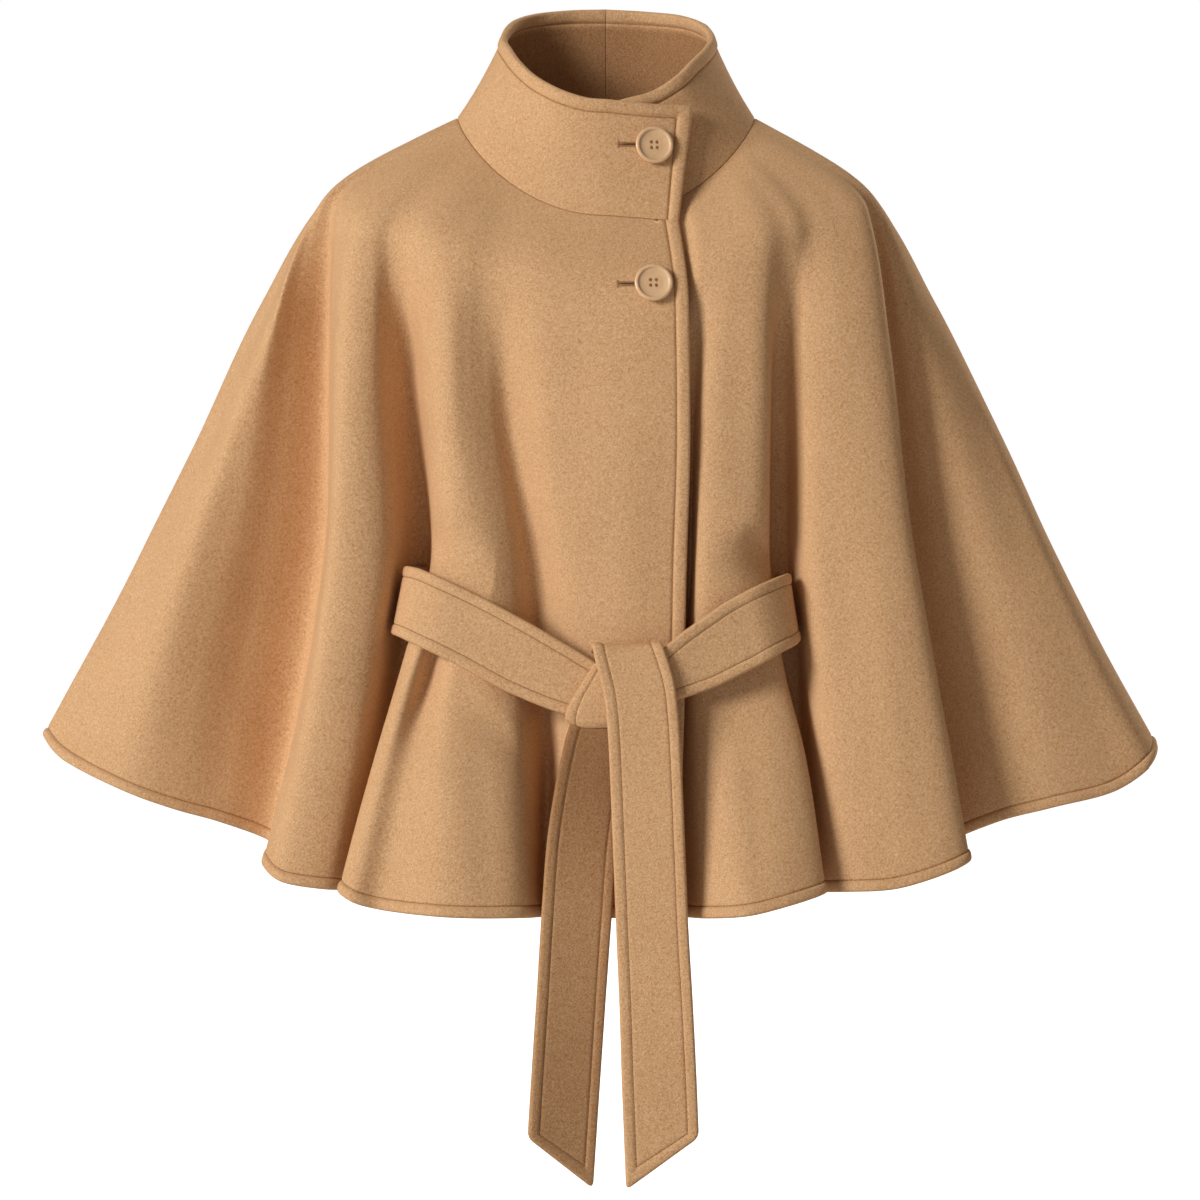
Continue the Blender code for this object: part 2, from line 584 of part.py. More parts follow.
def belt_section(half_width):
    """Outline across the belt: place across and height above its middle, once round."""
    edge, band = half_width, half_width - BAND_WIDTH
    thick = BELT_THICKNESS / 2
    top = ((-edge, 0), (-edge + 1.4, thick), (-band - 1, thick + BELT_BAND_RISE), (-band, thick - 0.3),
           (band, thick - 0.3), (band + 1, thick + BELT_BAND_RISE), (edge - 1.4, thick), (edge, 0))
    return top + ((edge - 1.4, -thick), (-edge + 1.4, -thick))


def ribbon(name, path, facing, half_widths, material, point_slope=0.0):
    """Sweep the belt's section along a path, its outer side towards facing."""
    tangent = np.gradient(path, axis=0)
    tangent /= np.linalg.norm(tangent, axis=-1, keepdims=True)
    normal = facing - tangent * (facing * tangent).sum(axis=-1, keepdims=True)
    normal /= np.linalg.norm(normal, axis=-1, keepdims=True)
    side = np.cross(tangent, normal)
    travelled = np.concatenate(((0,), np.cumsum(np.linalg.norm(np.diff(path, axis=0), axis=-1))))
    left = travelled[-1] - travelled
    vertices = []
    for spot, along, across, out, half, rest in zip(path, tangent, side, normal, half_widths, left):
        slant = point_slope * (1 - smoothstep(0, TAIL_POINT_REACH, rest))
        for place, height in belt_section(half):
            vertices.append(spot + across * place + out * height + along * slant * place)
    around = len(belt_section(1))
    faces = []
    for j in range(len(path) - 1):
        for i in range(around):
            after = (i + 1) % around
            faces.append((j * around + i, j * around + after, (j + 1) * around + after, (j + 1) * around + i))
    faces.append(tuple(range(around))[::-1])
    faces.append(tuple(range((len(path) - 1) * around, len(path) * around)))
    return add_object(name, vertices, faces, material)


def belt_waist(material):
    path, widths, tilts = smooth_columns(WAIST_PATH, 2)
    tangent = np.gradient(path, axis=0)
    level = np.cross(tangent, np.array((0.0, 0.0, 1.0)))
    level /= np.linalg.norm(level, axis=-1, keepdims=True)
    outward = np.sign((level * path * np.array((1, 1, 0))).sum(axis=-1, keepdims=True))
    tilt = np.radians(tilts)[:, None]
    facing = level * outward * np.cos(tilt) + np.array((0.0, 0.0, 1.0)) * np.sin(tilt)
    return ribbon("belt_waist", path, facing, widths, material)


def belt_tail(name, rows, slope, material):
    path, widths = smooth_columns(rows, 2)
    tangent = np.gradient(path, axis=0)
    facing = np.cross(tangent, np.array((1.0, 0.0, 0.0)))
    return ribbon(name, path, facing, widths, material, slope)


def belt_knot(material):
    """The belt's turned edge at the knot: a soft pad with a rounded outline."""
    outline = np.array(KNOT_OUTLINE, float)
    middle = outline.mean(axis=0)
    vertices = []
    layers = ((0.86, -1.0), (0.97, -0.7), (1.0, 0.0), (0.97, 0.7), (0.86, 1.0))
    for size, height in layers:
        for x, z in middle + (outline - middle) * size:
            vertices.append((x, KNOT_DEPTH - height * KNOT_HALF_THICKNESS, z))
    around = len(outline)
    faces = []
    for j in range(len(layers) - 1):
        for i in range(around):
            after = (i + 1) % around
            faces.append((j * around + i, j * around + after, (j + 1) * around + after, (j + 1) * around + i))
    faces.append(tuple(range(around))[::-1])
    faces.append(tuple(range((len(layers) - 1) * around, len(layers) * around)))
    return add_object("belt_knot", vertices, faces, material)


# Buttons -----------------------------------------------------------------------------------------

def button(name, surface, outward, material):
    """A turned disc with a raised rim and four holes, sewn on at a point of the cloth."""
    radius = BUTTON_DIAMETER / 2
    half = BUTTON_THICKNESS / 2
    profile = ((0, half - 1.3), (radius - BUTTON_RIM - 0.8, half - 1.3), (radius - BUTTON_RIM, half - 0.2),
               (radius - 1.4, half), (radius - 0.3, half - 0.7), (radius, half - 1.6),
               (radius - 0.6, -half + 0.5), (radius - 2.2, -half), (0, -half))
    turns = 24
    vertices = [(0, 0, profile[0][1]), (0, 0, profile[-1][1])]
    for reach, height in profile[1:-1]:
        for turn in range(turns):
            angle = 2 * math.pi * turn / turns
            vertices.append((reach * math.cos(angle), reach * math.sin(angle), height))
    faces = []
    for turn in range(turns):
        after = (turn + 1) % turns
        faces.append((0, 2 + turn, 2 + after))
        for ring in range(len(profile) - 3):
            low, high = 2 + ring * turns, 2 + (ring + 1) * turns
            faces.append((low + turn, high + turn, high + after, low + after))
        last = 2 + (len(profile) - 3) * turns
        faces.append((1, last + after, last + turn))
    disc = add_object(name, vertices, faces, material, 40)
    for index in range(4):
        place = np.array((index % 2 - 0.5, index // 2 - 0.5, 0)) * BUTTON_HOLE_PITCH * MM
        bpy.ops.mesh.primitive_cylinder_add(
            vertices=8, radius=BUTTON_HOLE / 2 * MM, depth=3 * BUTTON_THICKNESS * MM, location=place)
        cutter = bpy.context.object
        cutter.name = f"{name}_hole_{index}"
        cutter.hide_render = True
        cutter.display_type = "WIRE"
        cut = disc.modifiers.new(f"hole {index}", "BOOLEAN")
        cut.operation = "DIFFERENCE"
        cut.solver = "EXACT"
        cut.object = cutter
        cutter.parent = disc
    outward = np.array(outward, float) / np.linalg.norm(outward)
    side = np.cross((0.0, 0.0, 1.0), outward)
    side /= np.linalg.norm(side)
    up = np.cross(outward, side)
    seat = surface + outward * (BUTTON_SEAT + half)
    turn = np.eye(4)
    turn[:3] = np.column_stack((side, up, outward, seat * MM))
    disc.matrix_world = Matrix(turn.tolist())
    return disc


def main():
    clear_scene()
    wool = make_material("wool_melton", WOOL, 0.95)
    wool_belt = make_material("wool_belt", WOOL_BELT, 0.95)
    horn = make_material("button_resin", HORN, 0.35)

    back_right = [mirrored(line) for line in BACK]
    right_lines = list(RIGHT_FRONT) + [RIGHT_RIDGE] + back_right + [mirrored(BACK_MIDDLE)]
    left_lines = list(LEFT_FRONT) + [LEFT_RIDGE] + list(BACK) + [BACK_MIDDLE]
    right = Loft(right_lines, press_under_belt(behind_over), over=True)
    left = Loft(left_lines, tuck_under(right))
    right_ridge, left_ridge = len(RIGHT_FRONT), len(LEFT_FRONT)
    right_rows, left_rows = rows_down(RIGHT_SLIT), rows_down(LEFT_SLIT)

    columns = spread((1, 1, 1, 2, 2, 2, 2, 2, 3, 3, 1, 3, 2, 2, 3, 3, 2, 1, 2, 2))
    columns[0:1] = [(0.0, step) for step in EDGE_STEPS]
    columns[-1] = (float(right_ridge), -SEAM_GAP / 2)
    cape_panel("front_right", right, columns, right_rows, wool, edge_line=0,
               gaps=slit_gaps(columns, RIGHT_FRONT, right_rows, RIGHT_SLIT))

    columns = spread((3, 3, 2, 2, 3, 3, 3, 1, 3, 2, 3, 3, 2, 1, 2, 2, 2))
    columns[-1] = (float(left_ridge), -SEAM_GAP / 2)
    cape_panel("front_left", left, columns, left_rows, wool,
               gaps=slit_gaps(columns, LEFT_FRONT, left_rows, LEFT_SLIT))

    for name, loft, ridge, rows in (("back_right", right, right_ridge, right_rows),
                                    ("back_left", left, left_ridge, left_rows)):
        columns = spread((2, 2, 2, 2, 2, 2, 2, 2, 2, 2, 2, 2, 1), ridge)
        columns[0] = (float(ridge), SEAM_GAP / 2)
        columns[-1] = (columns[-1][0], -SEAM_GAP / 2)
        cape_panel(name, loft, columns, rows, wool)

    over_angles = [29, 28.5, 24.5, 22.5] + list(np.linspace(17, -180, 33))
    under_angles = list(np.linspace(3, 180, 29))
    collar_rows = (0.07, 0.16, 0.32, 0.5, 0.7)
    over_lines = list(OVER_COLLAR) + [(COLLAR_BACK[0], -180, COLLAR_BACK[2])]
    under_lines = list(UNDER_COLLAR) + [COLLAR_BACK]
    collar_piece("collar_right", over_lines, True, over_angles, collar_rows, wool)
    collar_piece("collar_left", under_lines, False, under_angles, collar_rows, wool)

    belt_waist(wool_belt)
    belt_knot(wool_belt)
    belt_tail("belt_tail_front", FRONT_TAIL, TAIL_POINT_SLOPE, wool_belt)
    belt_tail("belt_tail_rear", REAR_TAIL, -TAIL_POINT_SLOPE, wool_belt)

    angle, up = UPPER_BUTTON
    points, normals, _ = collar_surface(over_lines, True, (angle + 4, angle, angle - 4),
                                        lambda height: np.full((1, 3), up))
    button("button_upper", points[0, 1], normals[0, 1], horn)
    across, down = LOWER_BUTTON
    button("button_lower", right.at(across, down), right.normals(across, down), horn)


main()
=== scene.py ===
import math

import bpy
import numpy as np
from mathutils import Matrix, Vector


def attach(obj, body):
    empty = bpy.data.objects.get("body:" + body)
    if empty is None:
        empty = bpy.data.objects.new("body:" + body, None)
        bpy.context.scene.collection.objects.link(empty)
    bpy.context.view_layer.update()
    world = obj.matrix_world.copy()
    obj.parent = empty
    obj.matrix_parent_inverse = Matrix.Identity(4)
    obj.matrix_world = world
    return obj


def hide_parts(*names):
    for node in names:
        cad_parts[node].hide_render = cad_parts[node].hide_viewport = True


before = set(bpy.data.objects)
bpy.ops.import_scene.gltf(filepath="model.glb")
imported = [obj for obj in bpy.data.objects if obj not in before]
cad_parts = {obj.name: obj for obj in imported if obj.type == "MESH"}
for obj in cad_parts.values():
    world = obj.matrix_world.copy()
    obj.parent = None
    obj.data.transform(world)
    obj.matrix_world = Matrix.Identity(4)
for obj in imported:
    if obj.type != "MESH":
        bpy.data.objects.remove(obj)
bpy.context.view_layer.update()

# Sizes are in millimetres, in the frame's own axes
mm = 0.001
far = 900.0         # a distance that stands for no edge near
stitchAt = 10.2     # a turned edge's profile: its topstitching, and where it ends
turnedIn = 15.5
seamRound = 0.9     # radius of a seamed edge


def smoothStep(low, high, value):
    # 0 at low, 1 at high, and level at both
    share = np.clip((value - low) / (high - low), 0.0, 1.0)
    return share * share * (3 - 2 * share)


def unit(rows):
    return rows / (np.linalg.norm(rows, axis=-1, keepdims=True) + 1e-12)


def lengthAlong(path):
    # how far each point of a path is from its first
    return np.concatenate(((0,), np.cumsum(np.linalg.norm(np.diff(path, axis=0), axis=-1))))


def steadySlopes(keys, values):
    # slopes for a curve that never swings past its points
    span = np.diff(keys).reshape((-1,) + (1,) * (values.ndim - 1))
    rate = np.diff(values, axis=0) / span
    before, after = rate[:-1], rate[1:]
    weight = (2 * span[1:] + span[:-1]), (span[1:] + 2 * span[:-1])
    with np.errstate(divide="ignore", invalid="ignore"):
        inside = (weight[0] + weight[1]) / (weight[0] / before + weight[1] / after)
    inside = np.where(before * after > 0, inside, 0.0)
    first = ((2 * span[0] + span[1]) * rate[0] - span[0] * rate[1]) / (span[0] + span[1])
    return np.concatenate((first[None], inside, rate[-1:]))


def blended(low, high, leaving, arriving, share):
    # the cubic from low to high that leaves and arrives at the given slopes
    return (low * (2 * share ** 3 - 3 * share ** 2 + 1) + high * (3 * share ** 2 - 2 * share ** 3)
            + leaving * (share ** 3 - 2 * share ** 2 + share) + arriving * (share ** 3 - share ** 2))


def hermite(keys, values, places):
    # a smooth curve through values at keys, read at places
    keys, values, places = (np.asarray(part, float) for part in (keys, values, places))
    slopes = steadySlopes(keys, values)
    index = np.clip(np.searchsorted(keys, places, side="right") - 1, 0, len(keys) - 2)
    shape = places.shape + (1,) * (values.ndim - 1)
    span = (keys[index + 1] - keys[index]).reshape(shape)
    share = (places - keys[index]).reshape(shape) / span
    leaving, arriving = slopes[index] * span, slopes[index + 1] * span
    return blended(values[index], values[index + 1], leaving, arriving, share)


def centripetal(rows, places):
    # a smooth curve through each row of points, read at places given in line numbers
    first = 2 * rows[..., :1, :] - rows[..., 1:2, :]
    last = 2 * rows[..., -1:, :] - rows[..., -2:-1, :]
    points = np.concatenate((first, rows, last), axis=-2)
    index = np.clip(np.floor(places).astype(int), 0, rows.shape[-2] - 2)
    share = (places - index)[..., None]
    corner = [np.take_along_axis(points, (index + step)[..., None], axis=-2) for step in range(4)]
    gap = [np.sqrt(np.linalg.norm(corner[k + 1] - corner[k], axis=-1, keepdims=True)) + 1e-9
           for k in range(3)]
    start = (corner[1] - corner[0]) / gap[0] - (corner[2] - corner[0]) / (gap[0] + gap[1])
    start = gap[1] * (start + (corner[2] - corner[1]) / gap[1])
    stop = (corner[2] - corner[1]) / gap[1] - (corner[3] - corner[1]) / (gap[1] + gap[2])
    stop = gap[1] * (stop + (corner[3] - corner[2]) / gap[2])
    return blended(corner[1], corner[2], start, stop, share)


def smoothColumns(points, perSpan):
    # the smooth path through a table's places, and its other columns along it
    rows = np.array(points, float)
    keys = np.arange(len(rows))
    places = np.linspace(0, len(rows) - 1, (len(rows) - 1) * perSpan + 1)
    path = centripetal(rows[:, :3], places)
    return path, *(np.interp(places, keys, rows[:, column]) for column in range(3, rows.shape[1]))


def placed(name, data):
    # a new object in the scene
    made = bpy.data.objects.new(name, data)
    bpy.context.scene.collection.objects.link(made)
    return made


def dressed(piece, *materials):
    # a piece with these materials in place of any it had
    piece.data.materials.clear()
    for material in materials:
        piece.data.materials.append(material)
    return piece


def meshObject(name, coords, faces, data=None):
    # a mesh from places in millimetres, facing outwards, with values for its material to read
    mesh = bpy.data.meshes.new(name)
    mesh.from_pydata((np.asarray(coords) * mm).tolist(), [], faces)
    for label, values in (data or {}).items():
        layer = mesh.attributes.new(label, "FLOAT", "POINT")
        layer.data.foreach_set("value", np.asarray(values, np.float32))
    mesh.update()
    if signedVolume(mesh) < 0:
        mesh.flip_normals()
    mesh.shade_smooth()
    return placed(name, mesh)


def signedVolume(mesh):
    # below nought where the faces point inwards
    mesh.calc_loop_triangles()
    places = np.empty(len(mesh.vertices) * 3, np.float32)
    mesh.vertices.foreach_get("co", places)
    triangles = np.empty(len(mesh.loop_triangles) * 3, np.int32)
    mesh.loop_triangles.foreach_get("vertices", triangles)
    corners = places.reshape(-1, 3).astype(float)[triangles.reshape(-1, 3)]
    return np.einsum("ij,ij->i", corners[:, 0], np.cross(corners[:, 1], corners[:, 2])).sum() / 6


def plainCopy(piece):
    # the evaluated piece as a plain mesh, in place of the one with modifiers
    bpy.context.view_layer.update()
    ready = piece.evaluated_get(bpy.context.evaluated_depsgraph_get())
    mesh = bpy.data.meshes.new_from_object(ready)
    name = piece.name
    bpy.data.objects.remove(piece, do_unlink=True)
    mesh.name = name
    return placed(name, mesh)


# A turned edge is meshed closely out to its end, and a seamed one out to where it lies flat
edgeSteps = (0.0, 0.12, 0.35, 0.7, 1.2, 2.0, 3.2, 4.8, 6.4, 7.8, 8.8, 9.5, stitchAt, 10.9, 11.7, 13.0,
             turnedIn)
seamSteps = (0.0, 0.15, 0.45, 0.9, 1.8, 3.6)
nearEdge = slice(0, 22)    # the columns that an edge's corner can reach


def padProfile(distance, run, style):
    # outer profile of a turned and topstitched edge: a soft pad, a stitched groove, then flat
    keys = (0.0, 1.5, 4.2, 6.8, 8.6, 9.6, stitchAt, 10.9, 12.2, turnedIn, far)
    high, deep = style["pad"], style["groove"]
    heights = (high * 0.3, high * 0.78, high, high * 0.9, high * 0.5, -deep * 0.45, -deep, -deep * 0.4,
               0.05, 0.0, 0.0)
    spread = np.minimum(distance * stitchAt / style["stitchLine"], 800.0)
    shape = hermite(keys, np.array(heights), spread)
    # the pad swells a little and sinks again along its run
    swell = (1 + 0.10 * np.sin(run / 11.3) + 0.08 * np.sin(run / 4.7 + 1.3)
             + 0.06 * np.sin(run / 2.3 + 0.4))
    return shape * np.where(spread < turnedIn, swell, 1.0)


def roundedEdge(distance, radius):
    # share of the wall's thickness at a distance from where a sheet ends in a half round
    inside = np.clip(distance / radius, 0, 1)
    return np.sqrt(np.clip(1 - (1 - inside) ** 2, 0, 1))


def gridNormals(points, outwards):
    # the way each point of a grid faces; outwards is 1 or -1
    across = np.gradient(points, axis=1)
    down = np.gradient(points, axis=0)
    return unit(np.cross(across, -down)) * outwards


def roundCorner(points, fromSide, fromEnd, radius):
    # pulls a square corner of a sheet in to a rounded one; returns the new distance from its edge
    inSide, inEnd = radius - fromSide, radius - fromEnd
    corner = (inSide > 0) & (inEnd > 0)
    sideways = inSide * np.sqrt(np.clip(1 - inEnd ** 2 / (2 * radius ** 2), 0, 1))
    endways = inEnd * np.sqrt(np.clip(1 - inSide ** 2 / (2 * radius ** 2), 0, 1))
    alongSide = unit(np.gradient(points, axis=1)) * np.sign(np.gradient(fromSide, axis=1))[..., None]
    alongEnd = unit(np.gradient(points, axis=0)) * np.sign(np.gradient(fromEnd, axis=0))[..., None]
    move = alongSide * (inSide - sideways)[..., None] + alongEnd * (inEnd - endways)[..., None]
    edge = np.where(corner, radius - np.hypot(sideways, endways), np.minimum(fromSide, fromEnd))
    return points + np.where(corner[..., None], move, 0.0), np.maximum(edge, 0.0)


def skins(grid, style):
    # outer and inner skin of a sheet, thin where it ends and proud along its turned edge
    half = style["wall"] / 2
    edge, seam, normals = grid["edge"], grid["seam"], grid["normals"]
    rounding = np.minimum(roundedEdge(edge, half), roundedEdge(seam, seamRound))
    pad = padProfile(edge, grid["run"], style)
    centre = grid["points"] - normals * half
    outer = centre + normals * ((half + pad) * rounding)[..., None]
    inner = centre - normals * ((half + pad * style["inner"]) * rounding)[..., None]
    return outer, inner, rounding < 1e-6


def wallMesh(name, grid, style, openCells=None):
    # both skins as one closed shell, joined round its edges and round any cells left open
    outer, inner, closed = skins(grid, style)
    rows, columns = closed.shape
    index = np.arange(rows * columns).reshape(rows, columns)
    behind = np.where(closed, index, index + rows * columns)

    def quads(numbers):
        corners = numbers[:-1, :-1], numbers[:-1, 1:], numbers[1:, 1:], numbers[1:, :-1]
        return np.stack(corners, axis=-1)

    keep = np.ones((rows - 1, columns - 1), bool) if openCells is None else ~openCells
    front = quads(index)[keep]
    # an edge that one face alone uses is joined to the other skin, by a triangle where one end is shut
    pairs = set(zip(front.ravel().tolist(), np.roll(front, -1, axis=1).ravel().tolist()))
    back = behind.ravel()
    rim = [(b, a, back[a], back[b]) for a, b in pairs
           if (b, a) not in pairs and back[a] != a and back[b] != b]
    corners = [(b, a, back[a]) if back[b] == b else (b, a, back[b]) for a, b in pairs
               if (b, a) not in pairs and (back[a] != a) != (back[b] != b)]
    faces = [front, quads(behind)[keep][:, ::-1]] + ([np.array(rim)] if rim else [])
    coords = np.concatenate((outer.reshape(-1, 3), inner.reshape(-1, 3)))
    used = np.zeros(len(coords), bool)
    for group in faces:
        used[group.ravel()] = True
    renumber = np.cumsum(used) - 1
    faces = [tuple(face) for group in faces for face in renumber[group].tolist()]
    faces += [tuple(renumber[list(face)].tolist()) for face in corners]
    edge = np.concatenate((grid["edge"].ravel(),) * 2) * stitchAt / style["stitchLine"]
    # painted shade: the grid's tone and the style's shade darken the cloth, and the inner skin more so away
    # from its edges
    tone = np.broadcast_to(grid.get("tone", 1.0), closed.shape).ravel()
    paintedShade = np.tile(tone, 2) * style.get("paintedShade", 1.0)
    paintedShade[closed.size:] -= style["paintedInsideShade"] * smoothStep(9.5, 15.0, edge[closed.size:])
    return meshObject(name, coords[used], faces, {"edge": edge[used], "paintedShade": paintedShade[used]})


def linear(code):
    # an sRGB hex colour as linear values
    values = [int(code[k:k + 2], 16) / 255 for k in (1, 3, 5)]
    return tuple(v / 12.92 if v <= 0.04045 else ((v + 0.055) / 1.055) ** 2.4 for v in values) + (1.0,)


def addNode(tree, kind, inputs=None, **settings):
    node = tree.nodes.new(kind)
    for label, value in settings.items():
        setattr(node, label, value)
    for label, value in (inputs or {}).items():
        socket = node.inputs[label]
        if isinstance(value, bpy.types.NodeSocket):
            tree.links.new(value, socket)
        else:
            socket.default_value = value
    return node


def setMix(node, factor, first, second):
    # a colour mix has sockets of the same name for each kind of data
    tree = node.id_data
    sockets = [s for s in node.inputs if s.enabled]
    for socket, value in zip(sockets, (factor, first, second)):
        if isinstance(value, bpy.types.NodeSocket):
            tree.links.new(value, socket)
        else:
            socket.default_value = linear(value) if isinstance(value, str) else value


def mixResult(node):
    return next(s for s in node.outputs if s.enabled)


def newMaterial(name, settings):
    material = bpy.data.materials.new(name)
    material.use_nodes = True
    tree = material.node_tree
    tree.nodes.clear()
    shader = addNode(tree, "ShaderNodeBsdfPrincipled", settings)
    addNode(tree, "ShaderNodeOutputMaterial", {"Surface": shader.outputs[0]})
    return material, tree, shader


def patternScale(size):
    # a noise's scale from the size in millimetres of what it draws
    return round(1 / (size * mm))


# Melton wool: woven, then milled and brushed until short curling fibres hide the weave. That gives a
# matt face with hardly a highlight, and flecks along the fibres. The real fibres are some 0.03 mm
# thick, too fine to show, so they are drawn 0.48 mm wide and 2.4 mm long
wool = {
    "deep": "#bf8a58", "light": "#e4bd92",    # between the fibres, and on them
    "contrast": 1.15,
    "fibreLong": 2.4, "fibreWide": 0.48, "fibreTurns": (42, -47), "fibreTip": 0.3,
    "curl": 0.8, "curlEvery": 2.63,           # how far a fibre is bent, and how often
    "mottle": 0.03, "mottleWide": 41.7,       # faint clouds left by the milling
    "bump": 0.2, "bumpStrength": 0.7,
    "groove": 0.66,                           # how dark the painted shade down the stitched groove is
    "shadeWarmth": 0.14, "shadeHue": -0.011,  # painted shade turns warmer and redder, as light going from cloth to cloth makes it
    "shader": {"Roughness": 0.95, "Specular IOR Level": 0.1, "Sheen Weight": 0.12,
               "Sheen Roughness": 0.5},
    "sheen": "#f0cc9c",
}


def woolMaterial(name):
    material, tree, shader = newMaterial(name, {**wool["shader"], "Sheen Tint": linear(wool["sheen"])})
    place = addNode(tree, "ShaderNodeTexCoord").outputs["Object"]
    # each fibre curls: its place is bent by a soft noise before the fibres are drawn
    curls = {"Vector": place, "Scale": patternScale(wool["curlEvery"]), "Detail": 0.0}
    bend = addNode(tree, "ShaderNodeTexNoise", curls).outputs[1]
    bend = addNode(tree, "ShaderNodeVectorMath", {0: bend, 1: (0.5, 0.5, 0.5)},
                   operation="SUBTRACT").outputs[0]
    bend = addNode(tree, "ShaderNodeVectorMath", {0: bend, "Scale": wool["curl"] * 2 * mm},
                   operation="SCALE").outputs[0]
    bent = addNode(tree, "ShaderNodeVectorMath", {0: place, 1: bend}, operation="ADD").outputs[0]
    strokes = []
    # two layers of fibres, laid across each other
    size = [wool[side] * mm for side in ("fibreLong", "fibreWide", "fibreWide")]
    for turn in wool["fibreTurns"]:
        lie = (0.0, math.radians(turn), wool["fibreTip"])
        laid = addNode(tree, "ShaderNodeMapping", {"Vector": bent, "Rotation": lie, "Scale": size},
                       vector_type="TEXTURE").outputs[0]
        strokes.append(addNode(tree, "ShaderNodeTexNoise", {"Vector": laid, "Scale": 1.0,
                                                            "Detail": 0.0}).outputs[0])
    fibre = addNode(tree, "ShaderNodeMath", {0: strokes[0], 1: strokes[1]},
                    operation="MAXIMUM").outputs[0]
    # the noise keeps near its middle value, and the contrast narrows what goes from deep to light
    middle, spread = 0.56, 0.22 / wool["contrast"]
    amount = addNode(tree, "ShaderNodeMapRange", {"Value": fibre, "From Min": middle - spread,
                                                  "From Max": middle + spread}).outputs[0]
    color = addNode(tree, "ShaderNodeMix", data_type="RGBA")
    setMix(color, amount, wool["deep"], wool["light"])
    # painted shade carried by each mesh, times the faint clouds left by the milling
    paintedShade = addNode(tree, "ShaderNodeAttribute", attribute_name="paintedShade").outputs["Fac"]
    clouds = {"Vector": place, "Scale": patternScale(wool["mottleWide"]), "Detail": 3.0}
    mottle = addNode(tree, "ShaderNodeTexNoise", clouds).outputs[0]
    share = addNode(tree, "ShaderNodeMapRange", {"Value": mottle, "From Min": 0.25, "From Max": 0.75,
                                                 "To Min": 1 - wool["mottle"],
                                                 "To Max": 1 + wool["mottle"]}).outputs[0]
    tone = addNode(tree, "ShaderNodeMath", {0: paintedShade, 1: share}, operation="MULTIPLY").outputs[0]
    # painted shade: the cloth is darker down the stitched groove
    edge = addNode(tree, "ShaderNodeAttribute", attribute_name="edge").outputs["Fac"]
    away = addNode(tree, "ShaderNodeMath", {0: edge, 1: stitchAt}, operation="SUBTRACT").outputs[0]
    away = addNode(tree, "ShaderNodeMath", {0: away}, operation="ABSOLUTE").outputs[0]
    groove = addNode(tree, "ShaderNodeMapRange", {"Value": away, "From Min": 0.15, "From Max": 0.9,
                                                  "To Min": wool["groove"], "To Max": 1.0}).outputs[0]
    tone = addNode(tree, "ShaderNodeMath", {0: tone, 1: groove}, operation="MULTIPLY").outputs[0]
    # where painted shade darkens the cloth, its colour turns warmer and redder
    warmth = addNode(tree, "ShaderNodeMapRange", {"Value": tone, "From Min": 0.4, "From Max": 1.0,
                                                  "To Min": 1 + wool["shadeWarmth"],
                                                  "To Max": 1.0}).outputs[0]
    hue = addNode(tree, "ShaderNodeMapRange", {"Value": tone, "From Min": 0.4, "From Max": 1.0,
                                               "To Min": 0.5 + wool["shadeHue"],
                                               "To Max": 0.5}).outputs[0]
    color = addNode(tree, "ShaderNodeHueSaturation", {"Value": tone, "Saturation": warmth, "Hue": hue,
                                                      "Color": mixResult(color)}).outputs[0]
    tree.links.new(color, shader.inputs["Base Color"])
    bump = addNode(tree, "ShaderNodeBump", {"Height": fibre, "Strength": wool["bumpStrength"],
                                            "Distance": wool["bump"] * mm})
    tree.links.new(bump.outputs[0], shader.inputs["Normal"])
    return material


# The small parts' finishes: two shades, the width in millimetres of the clouds between them and how
# fine they are, then the shader's own values
finishes = {
    # polyester resin, moulded with a little swirl and polished, so that the rim has a sharp highlight
    "camelResin": ("#d9ac7d", "#ebc59b", 5.56, {"Detail": 2.0, "Distortion": 1.0},
                   {"Roughness": 0.35, "Specular IOR Level": 0.5, "Coat Weight": 0.5,
                    "Coat Roughness": 0.12}),
    # painted shade down its drilled holes: near-black resin, as little light reaches there, and no polish
    # either
    "camelResinPaintedShade": ("#22140a", "#3c2616", 2.5, {}, {"Roughness": 0.7}),
    # spun polyester thread, twisted and dyed near the wool, which gives matt flecks of light and dark.
    # The twist is finer than can show, so it is drawn 0.7 mm long
    "sewingThread": ("#7c5632", "#a87c4e", 0.7143, {}, {"Roughness": 0.7}),
    "buttonholeTwist": ("#8a6038", "#bd8f60", 0.7143, {}, {"Roughness": 0.7}),
}


def cloudedMaterial(name):
    dark, light, wide, clouds, settings = finishes[name]
    material, tree, shader = newMaterial(name, settings)
    place = addNode(tree, "ShaderNodeTexCoord").outputs["Object"]
    clouds = {"Vector": place, "Scale": patternScale(wide), **clouds}
    cloud = addNode(tree, "ShaderNodeTexNoise", clouds).outputs[0]
    tone = addNode(tree, "ShaderNodeMix", data_type="RGBA")
    setMix(tone, cloud, dark, light)
    tree.links.new(mixResult(tone), shader.inputs["Base Color"])
    return material


# Stitches in millimetres: a topstitch, and the close purl stitches round a buttonhole and its bar
stitch = {"Pitch": 3.3, "Length": 2.3, "Width": 0.62, "Height": 0.5}
purl = {"Pitch": 0.75, "Length": 0.66, "Width": 1.7, "Height": 0.7}
purlBar = {"Pitch": 0.75, "Length": 0.66, "Width": 2.2, "Height": 0.75}
stitchSeed = 7


